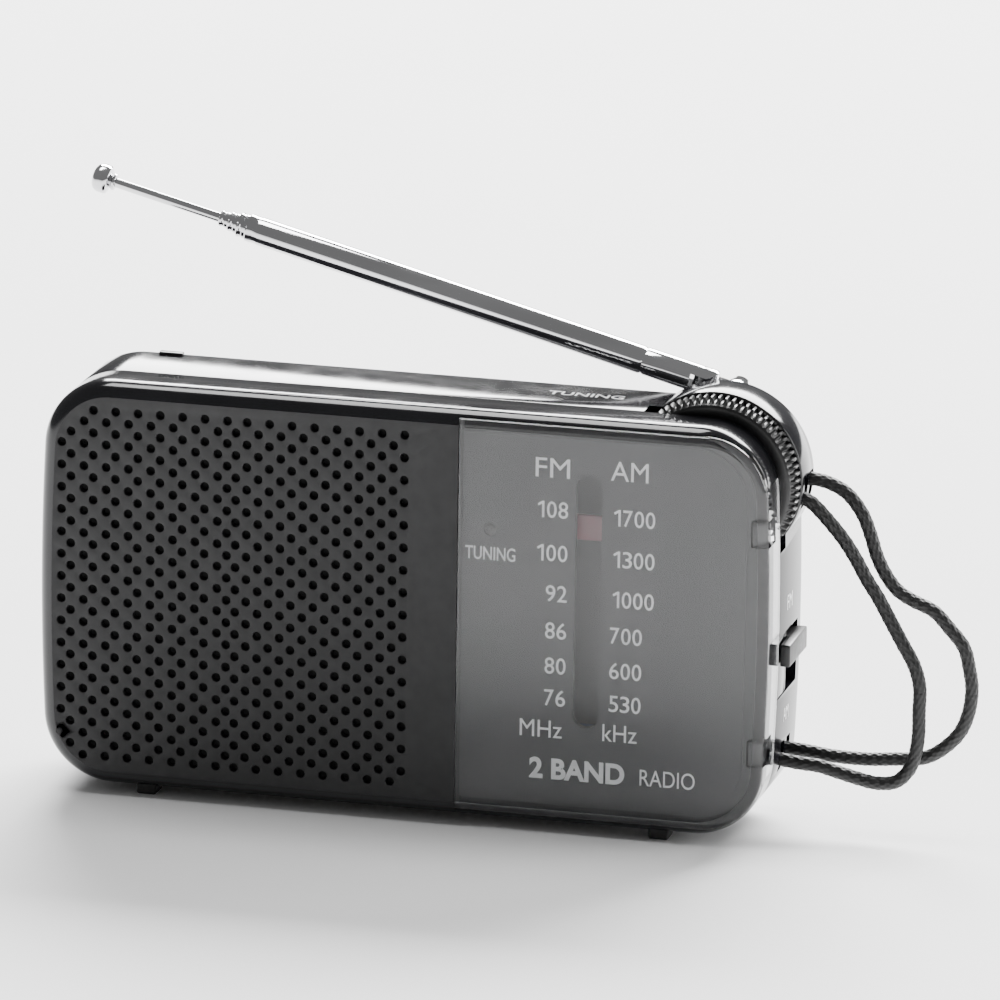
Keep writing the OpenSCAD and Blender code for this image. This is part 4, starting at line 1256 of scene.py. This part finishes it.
def place_flat(obj, origin, x_dir, y_dir):
    """Moves print made in the dial's plane onto another surface."""
    out = Vector(x_dir).cross(Vector(y_dir))
    turn = Matrix((Vector(x_dir), -out, Vector(y_dir))).transposed().to_4x4()
    obj.data.transform(Matrix.Translation(Vector(origin) * MM) @ turn)
    return obj


top_letters = letters("TUNING", 2.1, 12.4, 0, 0, "middle", 0, 0.15)
top_print = place_flat(top_letters, (26.2, 2.4, case_top + 0.01), (1, 0, 0), (0, 1, 0))
side_marks = []
for text, z in (("FM", 37.5), ("AM", 19.0)):
    side_r = (half_h**2 + CROWN**2) / (2 * CROWN)
    x = half_w - (z - mid_z) ** 2 / (2 * side_r) + 0.03
    mark = letters(text, 2.4, 3.4, 0, 0, "middle", 0)
    side_marks.append(place_flat(mark, (x, 2.2, z), (0, 1, 0), (0, 0, 1)))
piece(merge("case_print", [top_print] + side_marks), "print_white", "root")

# ---- CAD parts that stay --------------------------------------------------

KEPT = {
    "speaker_frame": "steel", "speaker_cone": "cone_paper", "speaker_cap": "cone_paper",
    "speaker_magnet": "magnet_dark", "circuit_board": "board_brown", "tuning_capacitor": "part_pale",
    "if_cans": "steel", "electrolytics": "part_dark", "amplifier_chip": "part_dark",
    "ferrite_rod": "magnet_dark", "ferrite_coil": "coil_copper", "cord_drum": "part_pale",
    "tuning_screw": "brass", "dial_cord": "string_pale", "cord_pulley": "part_pale",
    "pulley_post": "steel", "pointer_rail": "steel", "volume_screw": "brass",
    "volume_control": "part_dark", "band_switch": "steel", "earphone_jack": "part_dark",
    "battery_cells": "cell_wrap", "battery_springs": "steel", "battery_plates": "steel",
    "strap_knots": "strap_black",
}
for name, slot_name in KEPT.items():
    node = frame["nodes"][name]
    if not node.material_slots:
        node.data.materials.append(materials[slot_name])
    for s in node.material_slots:
        s.material = materials[slot_name]

# ---- Studio ---------------------------------------------------------------

FLOOR = 6000
floor = build(
    "floor",
    [(-FLOOR, -FLOOR, 0), (FLOOR, -FLOOR, 0), (FLOOR, FLOOR, 0), (-FLOOR, FLOOR, 0)],
    [(0, 1, 2, 3)],
)
floor_look = finish_material(
    "floor_pale", grey(0.86), grey(0.88), (0.75, 0.85), patch=2, grain=40, grain_strength=0.02
)
floor.data.materials.append(floor_look)


def soft_light(name, place, target, size, power):
    lamp_data = bpy.data.lights.new(name, "AREA")
    lamp_data.shape = "RECTANGLE"
    lamp_data.size, lamp_data.size_y = size
    lamp_data.energy = power
    lamp_object = bpy.data.objects.new(name, lamp_data)
    bpy.context.scene.collection.objects.link(lamp_object)
    lamp_object.location = place
    lamp_object.rotation_euler = (Vector(target) - Vector(place)).to_track_quat("-Z", "Y").to_euler()


soft_light("back", (0.1, 2.2, 1.7), (0, 0.5, 0), (2.6, 1.4), 420)
soft_light("top", (-0.35, 0.15, 1.6), (0, 0, 0.03), (0.8, 0.5), 20)
soft_light("side", (1.5, 0.6, 0.5), (0, 0, 0.03), (0.8, 0.9), 24)
world = bpy.data.worlds.new("studio")
bpy.context.scene.world = world
world.use_nodes = True
world.node_tree.nodes["Background"].inputs["Color"].default_value = (1, 1, 1, 1)
world.node_tree.nodes["Background"].inputs["Strength"].default_value = 0.24
